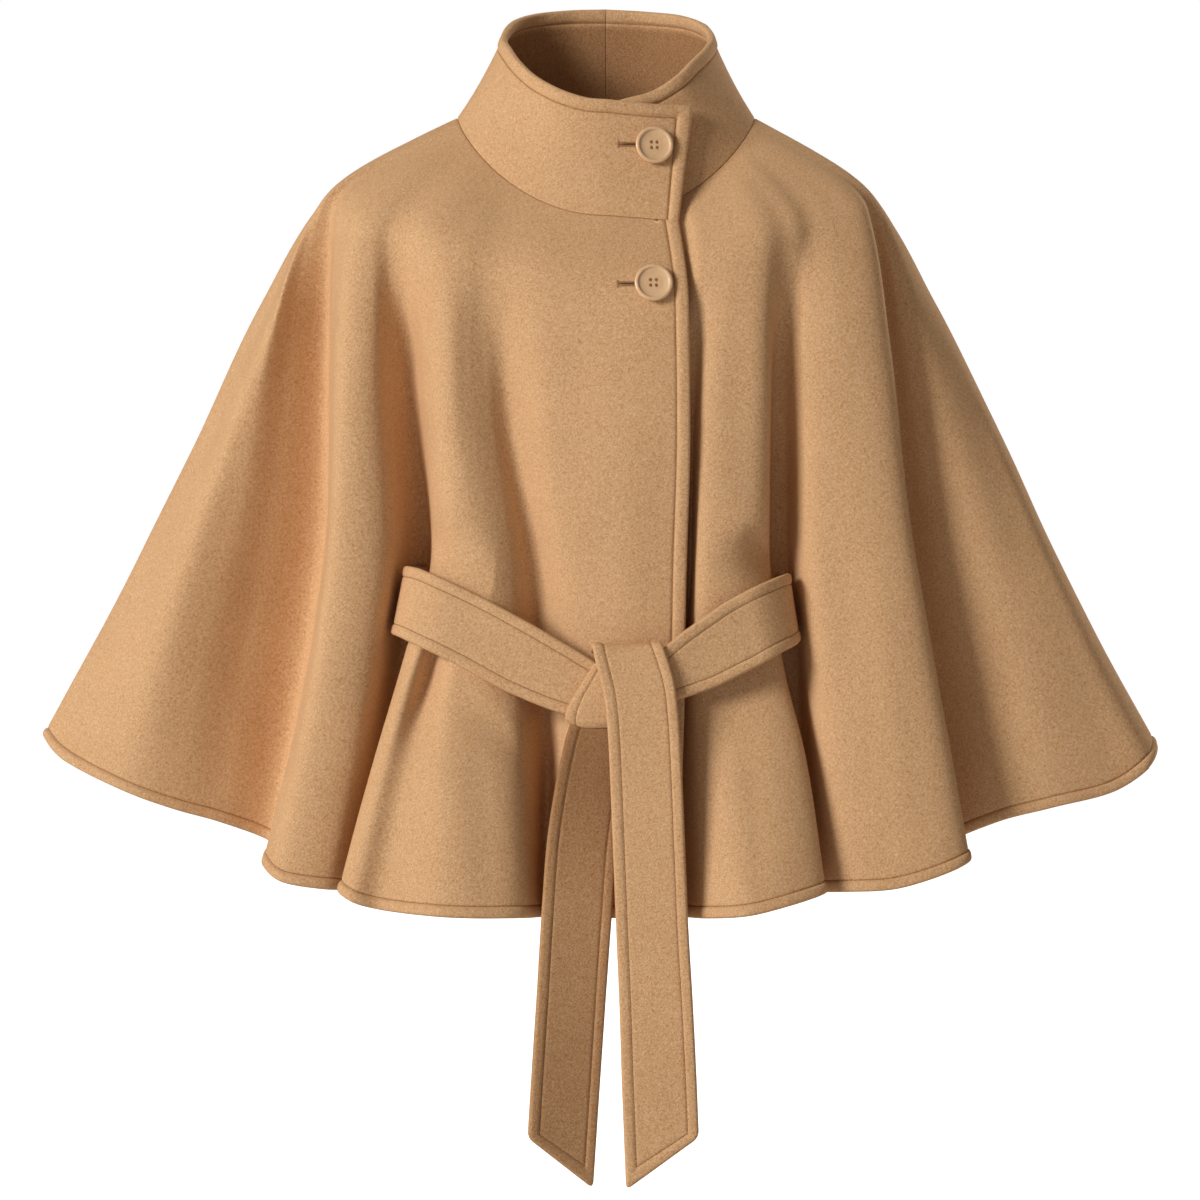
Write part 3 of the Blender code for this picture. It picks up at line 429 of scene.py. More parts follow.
def stitchTree():
    # small beads set evenly along lines and lying along them, each turned the way the cloth faces
    tree = bpy.data.node_groups.new("stitches", "GeometryNodeTree")
    face = tree.interface
    face.new_socket("Line", in_out="INPUT", socket_type="NodeSocketGeometry")
    for label in ("Pitch", "Length", "Width", "Height"):
        face.new_socket(label, in_out="INPUT", socket_type="NodeSocketFloat")
    face.new_socket("Seed", in_out="INPUT", socket_type="NodeSocketInt")
    face.new_socket("Thread", in_out="INPUT", socket_type="NodeSocketMaterial")
    face.new_socket("Stitches", in_out="OUTPUT", socket_type="NodeSocketGeometry")
    given = addNode(tree, "NodeGroupInput").outputs
    curve = addNode(tree, "GeometryNodeMeshToCurve", {"Mesh": given["Line"]}).outputs[0]
    spaced = addNode(tree, "GeometryNodeResampleCurve", {"Curve": curve}, mode="LENGTH")
    tree.links.new(given["Pitch"], spaced.inputs["Length"])
    facing = addNode(tree, "GeometryNodeInputNamedAttribute", {"Name": "facing"},
                     data_type="FLOAT_VECTOR")
    tangent = addNode(tree, "GeometryNodeInputTangent").outputs[0]
    turn = addNode(tree, "FunctionNodeAxesToRotation",
                   {"Primary Axis": facing.outputs[0], "Secondary Axis": tangent},
                   primary_axis="Z", secondary_axis="X").outputs[0]
    # each stitch differs a little in length, width and height
    jitter = addNode(tree, "FunctionNodeRandomValue", {"Seed": given["Seed"]}, data_type="FLOAT_VECTOR")
    jitter.inputs["Min"].default_value = (0.85, 0.85, 0.8)
    jitter.inputs["Max"].default_value = (1.1, 1.1, 1.15)
    size = addNode(tree, "ShaderNodeCombineXYZ",
                   {0: given["Length"], 1: given["Width"], 2: given["Height"]})
    scale = addNode(tree, "ShaderNodeVectorMath", {0: size.outputs[0], 1: jitter.outputs[0]},
                    operation="MULTIPLY")
    bead = addNode(tree, "GeometryNodeMeshUVSphere",
                   {"Segments": 6, "Rings": 4, "Radius": 0.5}).outputs[0]
    bead = addNode(tree, "GeometryNodeSetShadeSmooth", {0: bead}).outputs[0]
    laid = addNode(tree, "GeometryNodeInstanceOnPoints",
                   {"Points": spaced.outputs[0], "Instance": bead, "Rotation": turn,
                    "Scale": scale.outputs[0]})
    real = addNode(tree, "GeometryNodeRealizeInstances", {0: laid.outputs[0]}).outputs[0]
    done = addNode(tree, "GeometryNodeSetMaterial",
                   {"Geometry": real, "Material": given["Thread"]}).outputs[0]
    addNode(tree, "NodeGroupOutput", {"Stitches": done})
    return tree


def sewn(name, lines, thread, size):
    # stitches along lines, each line a pair of places and the directions they face
    mesh = bpy.data.meshes.new(name)
    coords, edges, facings = [], [], []
    for places, directions in lines:
        first = len(coords)
        coords += (np.asarray(places) * mm).tolist()
        facings += np.asarray(directions).tolist()
        edges += [(first + k, first + k + 1) for k in range(len(places) - 1)]
    mesh.from_pydata(coords, edges, [])
    layer = mesh.attributes.new("facing", "FLOAT_VECTOR", "POINT")
    layer.data.foreach_set("vector", np.array(facings, np.float32).ravel())
    piece = placed(name, mesh)
    change = piece.modifiers.new("stitches", "NODES")
    change.node_group = stitchNodes
    values = {label: value * mm for label, value in size.items()}
    values |= {"Seed": stitchSeed, "Thread": thread}
    for item in stitchNodes.interface.items_tree:
        if item.item_type == "SOCKET" and item.in_out == "INPUT" and item.name in values:
            change[item.identifier] = values[item.name]
    return dressed(plainCopy(piece), thread)


def lineOn(grid, style, rows, columns, inner=False, lift=0.1):
    # a line on one skin of a sheet, with the way it faces
    outer, back, _ = skins(grid, style)
    side = -1 if inner else 1
    normals = grid["normals"][rows, columns] * side
    return (back if inner else outer)[rows, columns] + normals * lift, normals


def turnedLines(grid, style):
    # topstitching along the free edge, then along the hem or rim, on both skins
    row, column = grid["stitchRow"], grid["stitchColumn"]
    lines = []
    for inner in (False, True):
        along = np.arange(column or 0, grid["points"].shape[1])
        rows = np.full(len(along), row)
        if column is not None:
            downEdge = np.arange(len(seamSteps) - 2, row)
            rows = np.concatenate((downEdge, rows))
            along = np.concatenate((np.full(len(downEdge), column), along))
        lines.append(lineOn(grid, style, rows, along, inner))
    return lines


def settle(piece, slotName, *nodes):
    # every piece rides on the one body, and takes the place of the solids it names
    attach(piece, "root")
    if nodes:
        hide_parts(*nodes)
    return piece


woolCape, woolBelt = woolMaterial("meltonWool"), woolMaterial("meltonWoolBelt")
resin, paintedShadeResin, thread, twist = (cloudedMaterial(name) for name in finishes)
stitchNodes = stitchTree()
pieces = {}
print("materials built")

# The neck seam, shared by the panels and the collar
neck = {
    "halfWidth": 110.0, "frontDepth": 88.0, "backDepth": 78.0, "frontDrop": 77.0,
    "lapDropRate": 0.075, "lapSlant": 0.05,    # how the over front's lap falls and goes back
    "lapInset": 7.5, "lapInsetBelow": 3.8,     # how far the under front lies behind it
    "collarLean": 0.28,
    "frontLift": 14.0, "sideLift": 32.0, "backLift": 14.0,    # degrees that the cloth faces upwards
}


def neckPoint(angle, over):
    # the neck seam is an oval that dips at the front; the over front's lap runs on straight
    turn = math.radians(angle)
    x = neck["halfWidth"] * math.sin(turn)
    if over and angle > 0:
        return np.array((x, -neck["frontDepth"] + neck["lapSlant"] * x,
                         -neck["frontDrop"] - neck["lapDropRate"] * x))
    if abs(angle) <= 90:
        front = math.cos(turn)
        y = -neck["frontDepth"] * front
        if angle > 0:
            y += neck["lapInset"] * float(smoothStep(78, 36, angle))    # goes behind the over front
        return np.array((x, y, -neck["frontDrop"] * front ** 1.5))
    return np.array((x, -neck["backDepth"] * math.cos(turn), 0.0))


def neckNormal(angle, over):
    # the way the cloth faces along the neck seam, shared by the collar and the panels
    turn = math.radians(angle)
    if over and angle > 0:
        turn *= 0.15    # the lap runs on nearly flat
    depth = neck["frontDepth"] if math.cos(turn) > 0 else neck["backDepth"]
    flat = unit(np.array((math.sin(turn) / neck["halfWidth"], -math.cos(turn) / depth, 0.0)))
    lift = math.radians(neck["frontLift"] + neck["sideLift"] * math.sin(turn) ** 2)
    if math.cos(turn) < 0:
        lift += math.radians(neck["backLift"]) * math.cos(turn) ** 2
    return flat * math.cos(lift) + np.array((0, 0, math.sin(lift)))


# The belt: its cloth in the same terms as the panels' below, and its mesh spacing. Then how the
# panels are pressed back behind its front stretches, by half its thickness and a clearance. Past the
# margin round the belt the press fades out over its reach
belt = {
    "wall": 3.8, "pad": 0.7, "inner": 0.8, "stitchLine": 8.2, "groove": 0.5, "paintedInsideShade": 0.0,
    "row": 4.0, "halfWidth": 26.0, "thickness": 4.0,
    "clearance": 1.3, "margin": 6.0, "pressReach": 40.0, "steepest": 1.8,
    "leavesFront": -88.0,    # the front stretches are what lies before this y
    "frontOnly": -70.0,      # cloth behind this y is left alone
    "rearPaintedShade": 0.79,       # painted shade over all of the rear end
    "knotPaintedShadow": 0.66, "knotShadowFrom": -455.0, "knotShadowTo": -600.0,    # painted shadow under the knot: its depth, the z where it starts to fade and where it is gone
}

# the belt's way round the waist: x, y, z of its middle line, half its width, its face's tip in degrees
waistPath = (
    (-14, -122, -422, 21.5, 0), (-34, -121.6, -413, 24, 0), (-62, -120.6, -399, 26, 1),
    (-97, -118, -380, 26, 4), (-124, -114, -367, 26, 8), (-142, -103, -359, 26, 12),
    (-149.5, -86, -357, 25.5, 11), (-140, -66, -358.5, 21, 5), (-143, -37, -357, 21.5, 1),
    (-164, 8, -350, 26, 0), (-152, 56, -343, 26, 0), (-112, 88, -342, 26, 0),
    (-56, 101, -341, 26, 0), (0, 104, -341, 26, 0), (56, 101, -341, 26, 0),
    (110, 88, -342, 26, 0), (148, 56, -346, 26, 0), (156, 8, -352, 26, 0),
    (134, -37, -361, 20.5, -1), (128, -60, -362.5, 20, 3), (135.5, -85, -362, 25, 9),
    (130, -101, -365, 26, 9), (115, -114.5, -372, 26, 6), (97, -119.5, -382, 26, 3),
    (68, -124, -399, 23.5, 0), (45, -127.6, -411, 19, 0), (15, -129.8, -421, 17.5, 0),
)

# the two hanging ends: x, y, z of the middle line, half the width and its turn in degrees
frontTail = (
    (14, -119, -393.5, 25, 0), (14, -123, -390.5, 25, 0), (15, -129, -390.3, 25, 0),
    (16, -133, -393.8, 25, 0), (20, -134.9, -406, 25.5, 0), (24, -135.2, -422, 26, 0),
    (27, -136.2, -450, 26, 0), (29, -139, -490, 26, -1), (31, -141.5, -540, 26, -2),
    (33, -143.5, -590, 26, -3), (36, -144, -650, 26.5, -2), (38, -144, -700, 27, 1),
    (40.5, -144, -762, 27, 2),
)
rearTail = (
    (-3.5, -124.4, -444, 21.5, 0), (-5.5, -125.4, -461, 24.5, 4), (-11, -129.2, -490, 25.5, 10),
    (-17, -132.8, -530, 26, 12), (-21, -137, -580, 26, 13), (-25, -139, -640, 26, 17),
    (-29, -139.5, -700, 26.5, 21), (-33, -139.5, -762, 26.5, 22),
)
tailPoint = {"slope": 0.66, "reach": 50.0, "round": 4.5}    # the ends are cut on the slant

# the turn of the belt beside the front tail: across each row from its free edge inwards, down to
# where it rolls under; each place is x, y, z
knotRows = (
    ((-9, -128.0, -402), (0, -129.6, -399), (12, -130, -397), (26, -129.5, -395)),
    ((-17, -128.3, -415), (-6, -130.6, -412), (8, -131, -409), (26, -130.0, -407)),
    ((-25, -128.0, -428), (-13, -130.8, -426), (4, -131.2, -424), (26, -130.2, -421)),
    ((-29.5, -127.8, -437.5), (-17, -130.6, -438), (1, -131.0, -438), (26, -130.2, -436)),
    ((-30.0, -127.0, -442.5), (-18, -129.6, -445.5), (0, -129.8, -446), (26, -129.4, -444)),
    ((-28.5, -125.4, -444.0), (-18, -127.0, -448.6), (0, -127.0, -449), (26, -127.0, -447)),
    ((-27.0, -123.8, -442.5), (-18, -124.6, -446.0), (0, -124.6, -446), (26, -124.8, -444)),
)

# the belt's own columns, from its edge inwards
beltSteps = (0.0, 0.2, 0.6, 1.2, 1.9, 2.9, 4.1, 5.4, 6.5, 7.4, belt["stitchLine"], 8.9, 9.7, 11.2)


def pressUnderBelt(behind):
    # presses cloth back behind the belt's two front stretches
    path, _, tilts = smoothColumns(waistPath, 6)
    front = np.column_stack((path, np.tan(np.radians(tilts))))[path[:, 1] < belt["leavesFront"]]
    front = front[np.argsort(front[:, 0])]
    steep = np.hypot(1, np.gradient(front[:, 1], front[:, 0]))
    fall = np.gradient(front[:, 2], front[:, 0])

    def press(points):
        x, y, z = points[..., 0], points[..., 1], points[..., 2]
        slope = np.interp(x, front[:, 0], fall)
        foot = x + (z - np.interp(x, front[:, 0], front[:, 2])) * slope / (1 + slope * slope)
        face, middle, lean = (np.interp(foot, front[:, 0], front[:, column]) for column in (1, 2, 3))
        # where the belt runs backwards, its thickness reaches further forward
        slant = np.minimum(np.interp(foot, front[:, 0], steep), belt["steepest"])
        away = np.hypot(z - middle, x - foot)
        face = face + lean * np.clip(z - middle, -belt["halfWidth"], belt["halfWidth"])
        limit = face + (belt["thickness"] / 2 + belt["clearance"]) * slant + behind(x)
        half = belt["halfWidth"] + belt["margin"]
        hold = smoothStep(half + belt["pressReach"], half, away)
        hold *= ((y < belt["frontOnly"]) & (x > front[0, 0]) & (x < front[-1, 0])).astype(float)
        pressed = np.where(y < limit, y + (limit - y) * hold, y)
        return np.stack((x, pressed, z), axis=-1)

    return press


def evenPath(table, spacing, endSteps=()):
    # the table's smooth path at even spacing, then at the given distances before its end
    path, *more = smoothColumns(table, 24)
    travelled = lengthAlong(path)
    total = travelled[-1]
    last = total - (max(endSteps) if endSteps else 0)
    places = np.linspace(0, last, math.ceil(last / spacing) + 1)
    places = np.concatenate((places, total - np.array(sorted(endSteps, reverse=True)[1:])))
    read = [np.interp(places, travelled, column) for column in (*path.T, *more)]
    return np.column_stack(read[:3]), read[3:], total - places


def beltGrid(path, facing, halfWidths, left, slope=0.0, free=False):
    # a strip along a path: each row has both edges' own columns and seven between them
    tangent = unit(np.gradient(path, axis=0))
    normal = unit(facing - tangent * (facing * tangent).sum(axis=-1, keepdims=True))
    side = np.cross(tangent, normal)
    steps = np.array(beltSteps)
    middle = np.linspace(-1, 1, 9)[1:-1]
    place = np.array([np.concatenate((steps - half, middle * (half - steps[-1]), half - steps[::-1]))
                      for half in halfWidths])
    slant = slope * (1 - smoothStep(0, tailPoint["reach"], left))
    points = path[:, None] + side[:, None] * place[..., None]
    points = points + tangent[:, None] * (slant[:, None] * place)[..., None]
    fromSide = np.array(halfWidths)[:, None] - np.abs(place)
    fromEnd = np.broadcast_to((left / math.hypot(1, slope))[:, None], fromSide.shape)
    normals = np.broadcast_to(normal[:, None], points.shape)
    if free:
        points, edge = roundCorner(points, fromSide, fromEnd, tailPoint["round"])
    else:
        edge = fromSide
    points = points + normals * belt["wall"] / 2
    run = np.broadcast_to(lengthAlong(path)[:, None], fromSide.shape)
    return {"points": points, "normals": normals, "edge": edge, "run": run,
            "seam": np.full(edge.shape, far), "bothEdges": True,
            "stitchRow": len(path) - 1 - beltSteps.index(belt["stitchLine"]) if free else None}


def waistGrid():
    # faces away from the middle of the cape, tipped as the table says
    path, (widths, tilts), left = evenPath(waistPath, belt["row"])
    tangent = np.gradient(path, axis=0)
    level = unit(np.cross(tangent, np.array((0.0, 0.0, 1.0))))
    outward = np.sign((level * path * np.array((1, 1, 0))).sum(axis=-1, keepdims=True))
    tilt = np.radians(tilts)[:, None]
    facing = level * outward * np.cos(tilt) + np.array((0.0, 0.0, 1.0)) * np.sin(tilt)
    return beltGrid(path, facing, widths, left)


def tailGrid(table, slope):
    # hangs facing the front, turned as the table says
    steps = tuple(step * math.hypot(1, slope) for step in beltSteps)
    path, (widths, turns), left = evenPath(table, belt["row"], steps)
    facing = unit(np.cross(np.gradient(path, axis=0), np.array((1.0, 0.0, 0.0))))
    facing += np.tan(np.radians(turns))[:, None] * np.array((1.0, 0.0, 0.0))
    return beltGrid(path, facing, widths, left, slope, free=True)


def knotGrid():
    # reach: how far in from the free edge the sheet goes, under the front tail
    table = np.array(knotRows, float)
    reach, count = 40, 61
    down = np.broadcast_to(np.linspace(0, len(table) - 1, count), (4, count))
    rows = np.swapaxes(centripetal(np.swapaxes(table, 0, 1), down), 0, 1)
    wide = np.linalg.norm(np.diff(rows, axis=1), axis=-1).sum(axis=1)
    steps = np.concatenate((np.array(beltSteps), np.linspace(beltSteps[-1], reach, 10)[1:]))
    columns = np.empty((len(rows), len(steps)))
    for index, row in enumerate(rows):
        places = np.linspace(0, 3, 90)
        line = centripetal(row, places)
        travelled = lengthAlong(line)
        columns[index] = np.interp(np.minimum(steps, wide[index]), travelled, places)
    points = centripetal(rows, columns)
    normals = gridNormals(points, 1.0)
    if normals[:30, :, 1].mean() > 0:
        normals = -normals
    edge = np.broadcast_to(steps, columns.shape)
    fromTop = np.broadcast_to(np.arange(count)[:, None] * 0.9, columns.shape)
    seam = np.minimum(np.minimum(fromTop, fromTop[::-1]), reach - steps)
    return {"points": points, "normals": normals, "edge": edge, "run": fromTop, "seam": seam,
            "bothEdges": False, "stitchRow": None}


def beltLines(grid):
    # topstitching along both edges of a belt piece and across its free end, on both sides
    rows, columns = grid["edge"].shape
    near = beltSteps.index(belt["stitchLine"])
    foot = rows - 1 if grid["stitchRow"] is None else grid["stitchRow"]
    down = np.arange(0, foot + 1)
    lines = []
    for inner in (False, True):
        if grid["stitchRow"] is None:
            ends = (near, columns - 1 - near) if grid["bothEdges"] else (near,)
            lines += [lineOn(grid, belt, down, np.full(len(down), column), inner) for column in ends]
        else:
            acrossEnd = np.arange(near + 1, columns - 1 - near)
            path = np.concatenate((down, np.full(len(acrossEnd), foot), down[::-1]))
            column = np.concatenate((np.full(len(down), near), acrossEnd,
                                     np.full(len(down), columns - 1 - near)))
            lines.append(lineOn(grid, belt, path, column, inner))
    return lines


# The panels: their wall, the turned edge's pad and the share of it inside, the topstitching's
# distance from the edge, its groove, and the painted shade on the inner skin, then how they are meshed and
# finished
cape = {
    "wall": 2.2, "pad": 1.6, "inner": 0.75, "stitchLine": 10.2, "groove": 0.7, "paintedInsideShade": 0.12,
    "hemStitch": 9.1,                        # the hem's topstitching, from its edge
    "unevenHeight": 0.5,                     # soft unevenness of the wool
    "column": 4.2, "row": 5.0,               # mesh spacing across and down
    "length": 575.0,                         # a panel's, from neck seam to hem
    "firstRow": 0.0135, "lastRow": 0.955,    # shares of the way down, between the edges' own rows
    "tipRound": 6.0, "cornerRound": 3.0,     # the wing tips, and the front edge's lower corner
    "neckBlend": 14.0, "middleBlend": 8.0,   # how far the seams' own tilt reaches
    "smoothTop": 30.0,                       # where the unevenness has its full height
    "lapFade": (68.0, 60.0),                 # x where the over front ends
    "rightSlit": (0.5635, 0.643), "leftSlit": (0.579, 0.657),    # shares of the way down
}

# Each fold line runs from the neck seam to the hem, and its place (x, y) is given at these shares
# of its way down: yoke, chest, waist, below the belt, skirt and hem
stations = (0.0, 0.12, 0.30, 0.53, 0.68, 0.82, 1.0)

# name, angle round the neck, hem drop, then the places
rightFront = (
    ("over edge", 29, 586, (60, -116), (61, -119), (58, -112), (57, -112), (55, -120), (54, -132)),
    ("lap", 16, 586, (30, -118), (30, -121), (30, -114), (31, -114), (31, -120), (31, -132)),
    ("centre", 3, 586, (-4, -118), (-4, -120), (-1, -113), (1, -113), (1, -118), (1, -129)),
    ("centre side", -18, 586, (-46, -116), (-44, -115), (-30, -106), (-26, -104), (-28, -112), (-29, -122)),
    ("valley", -33, 587, (-75, -109), (-71, -98), (-52, -86), (-46, -81), (-43, -82), (-45, -95)),
    ("bulge in", -38, 585, (-88, -108), (-85, -106), (-69, -105), (-67, -109), (-65, -129), (-61, -150)),
    ("bulge", -43, 584, (-101, -109), (-100, -113), (-86, -114), (-112, -116), (-114, -142), (-114, -162)),
    ("dip", -47, 579, (-112, -108), (-112, -116), (-101, -115), (-128, -96), (-147, -126), (-166, -138)),
    ("roll", -51, 574, (-123, -105), (-122, -111), (-113, -112), (-138, -110), (-160, -128), (-183, -141)),
    ("roll out", -54, 567, (-135, -99), (-131, -98), (-125, -93), (-146, -97), (-168, -112), (-193, -127)),
    ("slit in", -57, 567, (-147, -91), (-143, -69), (-131, -54), (-139, -56), (-150, -71), (-166, -98)),
    ("slit out", -60, 567, (-157, -87), (-153, -77), (-141.5, -58), (-150, -53), (-161, -65), (-178, -91)),
    ("fold in", -64, 566, (-170, -87), (-169, -98), (-163, -101), (-171, -102), (-182, -106), (-203, -116)),
    ("fold", -69, 560, (-183, -80), (-191, -97), (-196, -104), (-205, -106), (-218, -109), (-236, -118)),
    ("fold out", -74, 550, (-196, -58), (-201, -64), (-203, -73), (-212, -78), (-226, -84), (-249, -99)),
    ("arm", -77, 534, (-202, -43), (-206, -22), (-208, -16), (-217, -15), (-230, -15), (-248, -28)),
    ("wing in", -80, 520, (-209, -42), (-230, -33), (-241, -28), (-254, -28), (-268, -29), (-283, -37)),
    ("wing", -83, 510, (-209, -38), (-244, -44), (-268, -44), (-286, -46), (-301, -46), (-317, -48)),
    ("wing out", -86, 497, (-208, -27), (-246, -38), (-285, -45), (-310, -50), (-332, -51), (-353, -50)),
    ("edge", -88, 472, (-205, -12), (-249, -18), (-297, -20), (-329, -21), (-360, -21), (-404, -20)),
)
rightRidge = ("ridge", -90, 458, (-203, 0), (-255, 0), (-305, 0), (-339, 0), (-372, 0), (-417, 0))

leftFront = (
    ("under edge", 3, 585, (6, -111), (6, -115), (6, -107), (6, -107), (6, -113), (6, -124)),
    ("under lap", 16, 585, (30, -110), (30, -115), (30, -108), (31, -108), (31, -114), (31, -126)),
    ("under middle", 28, 585, (56, -102), (56, -112), (55, -105), (54, -105), (52, -114), (50, -126)),
    ("valley", 34, 586, (66, -108), (63, -100), (61, -86), (54, -84), (53, -97), (57, -116)),
    ("roll in", 39, 586, (77, -109), (70, -112), (66, -110), (64, -105), (66, -116), (72, -136)),
    ("roll", 46, 583, (93, -108), (84, -116), (84, -114), (88, -105), (95, -127), (105, -152)),
    ("roll out", 53, 568, (115, -104), (116, -109), (115, -103), (126, -92), (144, -109), (159, -128)),
    ("slit in", 57, 569, (129, -96), (123, -80), (121, -58), (127, -54), (131, -70), (136, -96)),
    ("slit out", 60, 569, (139, -92), (130, -79), (131, -54), (138, -50), (142, -62), (149, -90)),
    ("fold in", 64, 568, (149, -86), (145, -94), (147, -92), (152, -95), (159, -100), (172, -112)),
    ("fold", 69, 565, (166, -81), (172, -97), (183, -98), (192, -102), (201, -107), (213, -117)),
    ("fold out", 74, 547, (190, -70), (205, -84), (219, -89), (232, -92), (246, -96), (263, -103)),
    ("arm", 78, 536, (193, -47), (206, -47), (218, -44), (228, -43), (240, -42), (250, -46)),
    ("wing in", 81, 519, (196, -44), (218, -51), (238, -51), (254, -50), (270, -50), (288, -51)),
    ("wing", 85, 509, (198, -38), (230, -50), (262, -56), (284, -55), (304, -55), (326, -55)),
    ("wing out", 87, 496, (198, -27), (240, -39), (288, -45), (318, -45), (345, -44), (376, -43)),
    ("edge", 88, 477, (196, -14), (243, -27), (295, -35), (327, -35), (358, -34), (403, -32)),
)
leftRidge = ("ridge", 90, 464, (193, 0), (245, 0), (297, 0), (329, 0), (361, 0), (407, 0))

# the back from the ridge to the middle, drawn for the left half
back = (
    ("back edge", 92, 474, (197, 12), (246, 13), (293, 13), (325, 13), (355, 13), (398, 12)),
    ("back wing out", 95, 497, (198, 27), (243, 32), (284, 32), (309, 31), (330, 30), (352, 30)),
    ("back wing", 99, 512, (195, 44), (235, 50), (268, 48), (288, 46), (303, 45), (318, 45)),
    ("first flute", 104, 526, (189, 61), (220, 76), (246, 80), (260, 84), (270, 88), (282, 92)),
    ("first hollow", 110, 532, (184, 74), (203, 82), (222, 74), (232, 70), (240, 70), (248, 74)),
    ("second flute", 117, 547, (169, 86), (180, 100), (192, 108), (198, 112), (205, 118), (212, 126)),
    ("second flute in", 125, 557, (150, 94), (158, 108), (166, 116), (170, 120), (174, 126), (180, 134)),
    ("second hollow", 134, 562, (126, 98), (130, 108), (134, 102), (137, 100), (140, 104), (145, 112)),
    ("third flute", 144, 574, (98, 102), (100, 114), (104, 122), (106, 126), (110, 134), (114, 146)),
    ("third flute in", 154, 580, (70, 104), (71, 116), (73, 126), (74, 130), (76, 138), (80, 152)),
    ("third hollow", 163, 584, (44, 105), (44, 115), (44, 112), (44, 112), (44, 118), (46, 130)),
    ("middle side", 172, 588, (20, 105), (20, 116), (20, 118), (20, 122), (20, 130), (21, 144)),
)
backMiddle = ("back middle", 180, 590, (0, 105), (0, 116), (0, 119), (0, 123), (0, 131), (0, 146))

# soft troughs (depth below nought) and ridges: x and z of both ends, reach to each side, depth
frontCreases = (
    (-250, -190, -292, -330, 15, -1.6), (-322, -300, -352, -392, 16, 1.4),
    (-150, -150, -163, -270, 13, -1.4), (-92, -470, -84, -575, 12, -1.5),
    (-20, -170, -34, -330, 16, -1.1), (22, -230, 14, -380, 14, 0.9), (96, -150, 98, -280, 11, -1.2),
    (163, -260, 176, -430, 13, -1.3), (196, -330, 214, -520, 12, 1.1), (268, -200, 306, -330, 14, -1.5),
    (330, -300, 362, -400, 14, 1.2), (104, -460, 112, -575, 12, -1.4),
)
backCreases = (
    (-300, -250, -342, -380, 16, -1.5), (-232, -190, -252, -400, 14, 1.3),
    (-150, -180, -158, -420, 15, -1.6), (-62, -230, -66, -520, 14, 1.3), (24, -170, 28, -480, 15, -1.2),
    (88, -240, 92, -560, 14, 1.4), (170, -170, 180, -440, 14, -1.5), (236, -220, 262, -420, 14, 1.3),
    (310, -270, 345, -390, 15, -1.4),
)


def unevenness(points):
    # long, low swells of the cloth, different all over
    x, y, z = (points[..., k] for k in range(3))
    waves = (np.sin(x / 23 + 0.7 * np.sin(z / 41)) * np.sin(z / 37 + 1.1)
             + 0.7 * np.sin((x + z) / 31 + y / 53 + 2.0) + 0.5 * np.sin((x - 0.6 * z) / 17 + 0.4))
    return cape["unevenHeight"] * waves / 2.2


def creased(points, outwardY):
    # how far the cloth moves out along its normal, for the creases on its own side
    x, z = points[..., 0], points[..., 2]
    move = np.zeros(x.shape)
    for table, side in ((frontCreases, points[..., 1] < 0), (backCreases, points[..., 1] > 0)):
        for x1, z1, x2, z2, reach, depth in table:
            along = ((x - x1) * (x2 - x1) + (z - z1) * (z2 - z1)) / ((x2 - x1) ** 2 + (z2 - z1) ** 2)
            away = np.hypot(x - x1 - along * (x2 - x1), z - z1 - along * (z2 - z1)) / reach
            fade = smoothStep(-0.3, 0.3, along) * smoothStep(1.3, 0.7, along)
            move += side * depth * fade * np.exp(-away ** 2)
    return move * outwardY


def mirrored(line):
    # a fold line on the other half
    name, angle, drop, *spots = line
    return (name, -angle, drop, *[(-x, y) for x, y in spots])


def linePoints(line, over):
    # a fold line's places in x, y and z
    _, angle, drop, *spots = line
    top = neckPoint(angle, over)
    below = [np.array((x, y, top[2] + (-drop - top[2]) * share))
             for share, (x, y) in zip(stations[1:], spots)]
    return [top] + below


class Loft:
    # a surface through fold lines: across them by line number, down them by share of length
    def __init__(self, lines, press, over=False):
        self.angles = np.array([line[1] for line in lines], float)
        self.over = over
        self.press = press
        self.table = np.array([linePoints(line, over) for line in lines])

    def at(self, across, down):
        across, down = np.broadcast_arrays(np.asarray(across, float), np.asarray(down, float))
        flat = down.ravel()
        rows = hermite(stations, np.swapaxes(self.table, 0, 1), flat)
        points = centripetal(rows, across.reshape(-1, 1))[:, 0, :]
        points += self.neckShift(across.ravel()) * smoothStep(0.08, 0.0, flat)[:, None]
        points = points.reshape(across.shape + (3,))
        return self.press(points) if self.press else points

    def neckShift(self, across):
        # what brings the first row exactly onto the neck seam; it fades out just below
        lofted = centripetal(self.table[:, 0][None], across[None])[0]
        angles = np.interp(across, np.arange(len(self.angles)), self.angles)
        return np.array([neckPoint(angle, self.over) for angle in angles]) - lofted

    def width(self, across, down):
        # millimetres to one fold line's step, there
        step = 0.02
        near = np.clip(across, step, len(self.angles) - 1 - step)
        chord = self.at(near + step, down) - self.at(near - step, down)
        return np.linalg.norm(chord, axis=-1) / (2 * step)

    def length(self, across):
        # from neck seam to hem
        down = np.linspace(0, 1, 25)[:, None]
        grid = np.broadcast_arrays(np.asarray(across, float)[None], down)
        return np.linalg.norm(np.diff(self.at(*grid), axis=0), axis=-1).sum(axis=0)


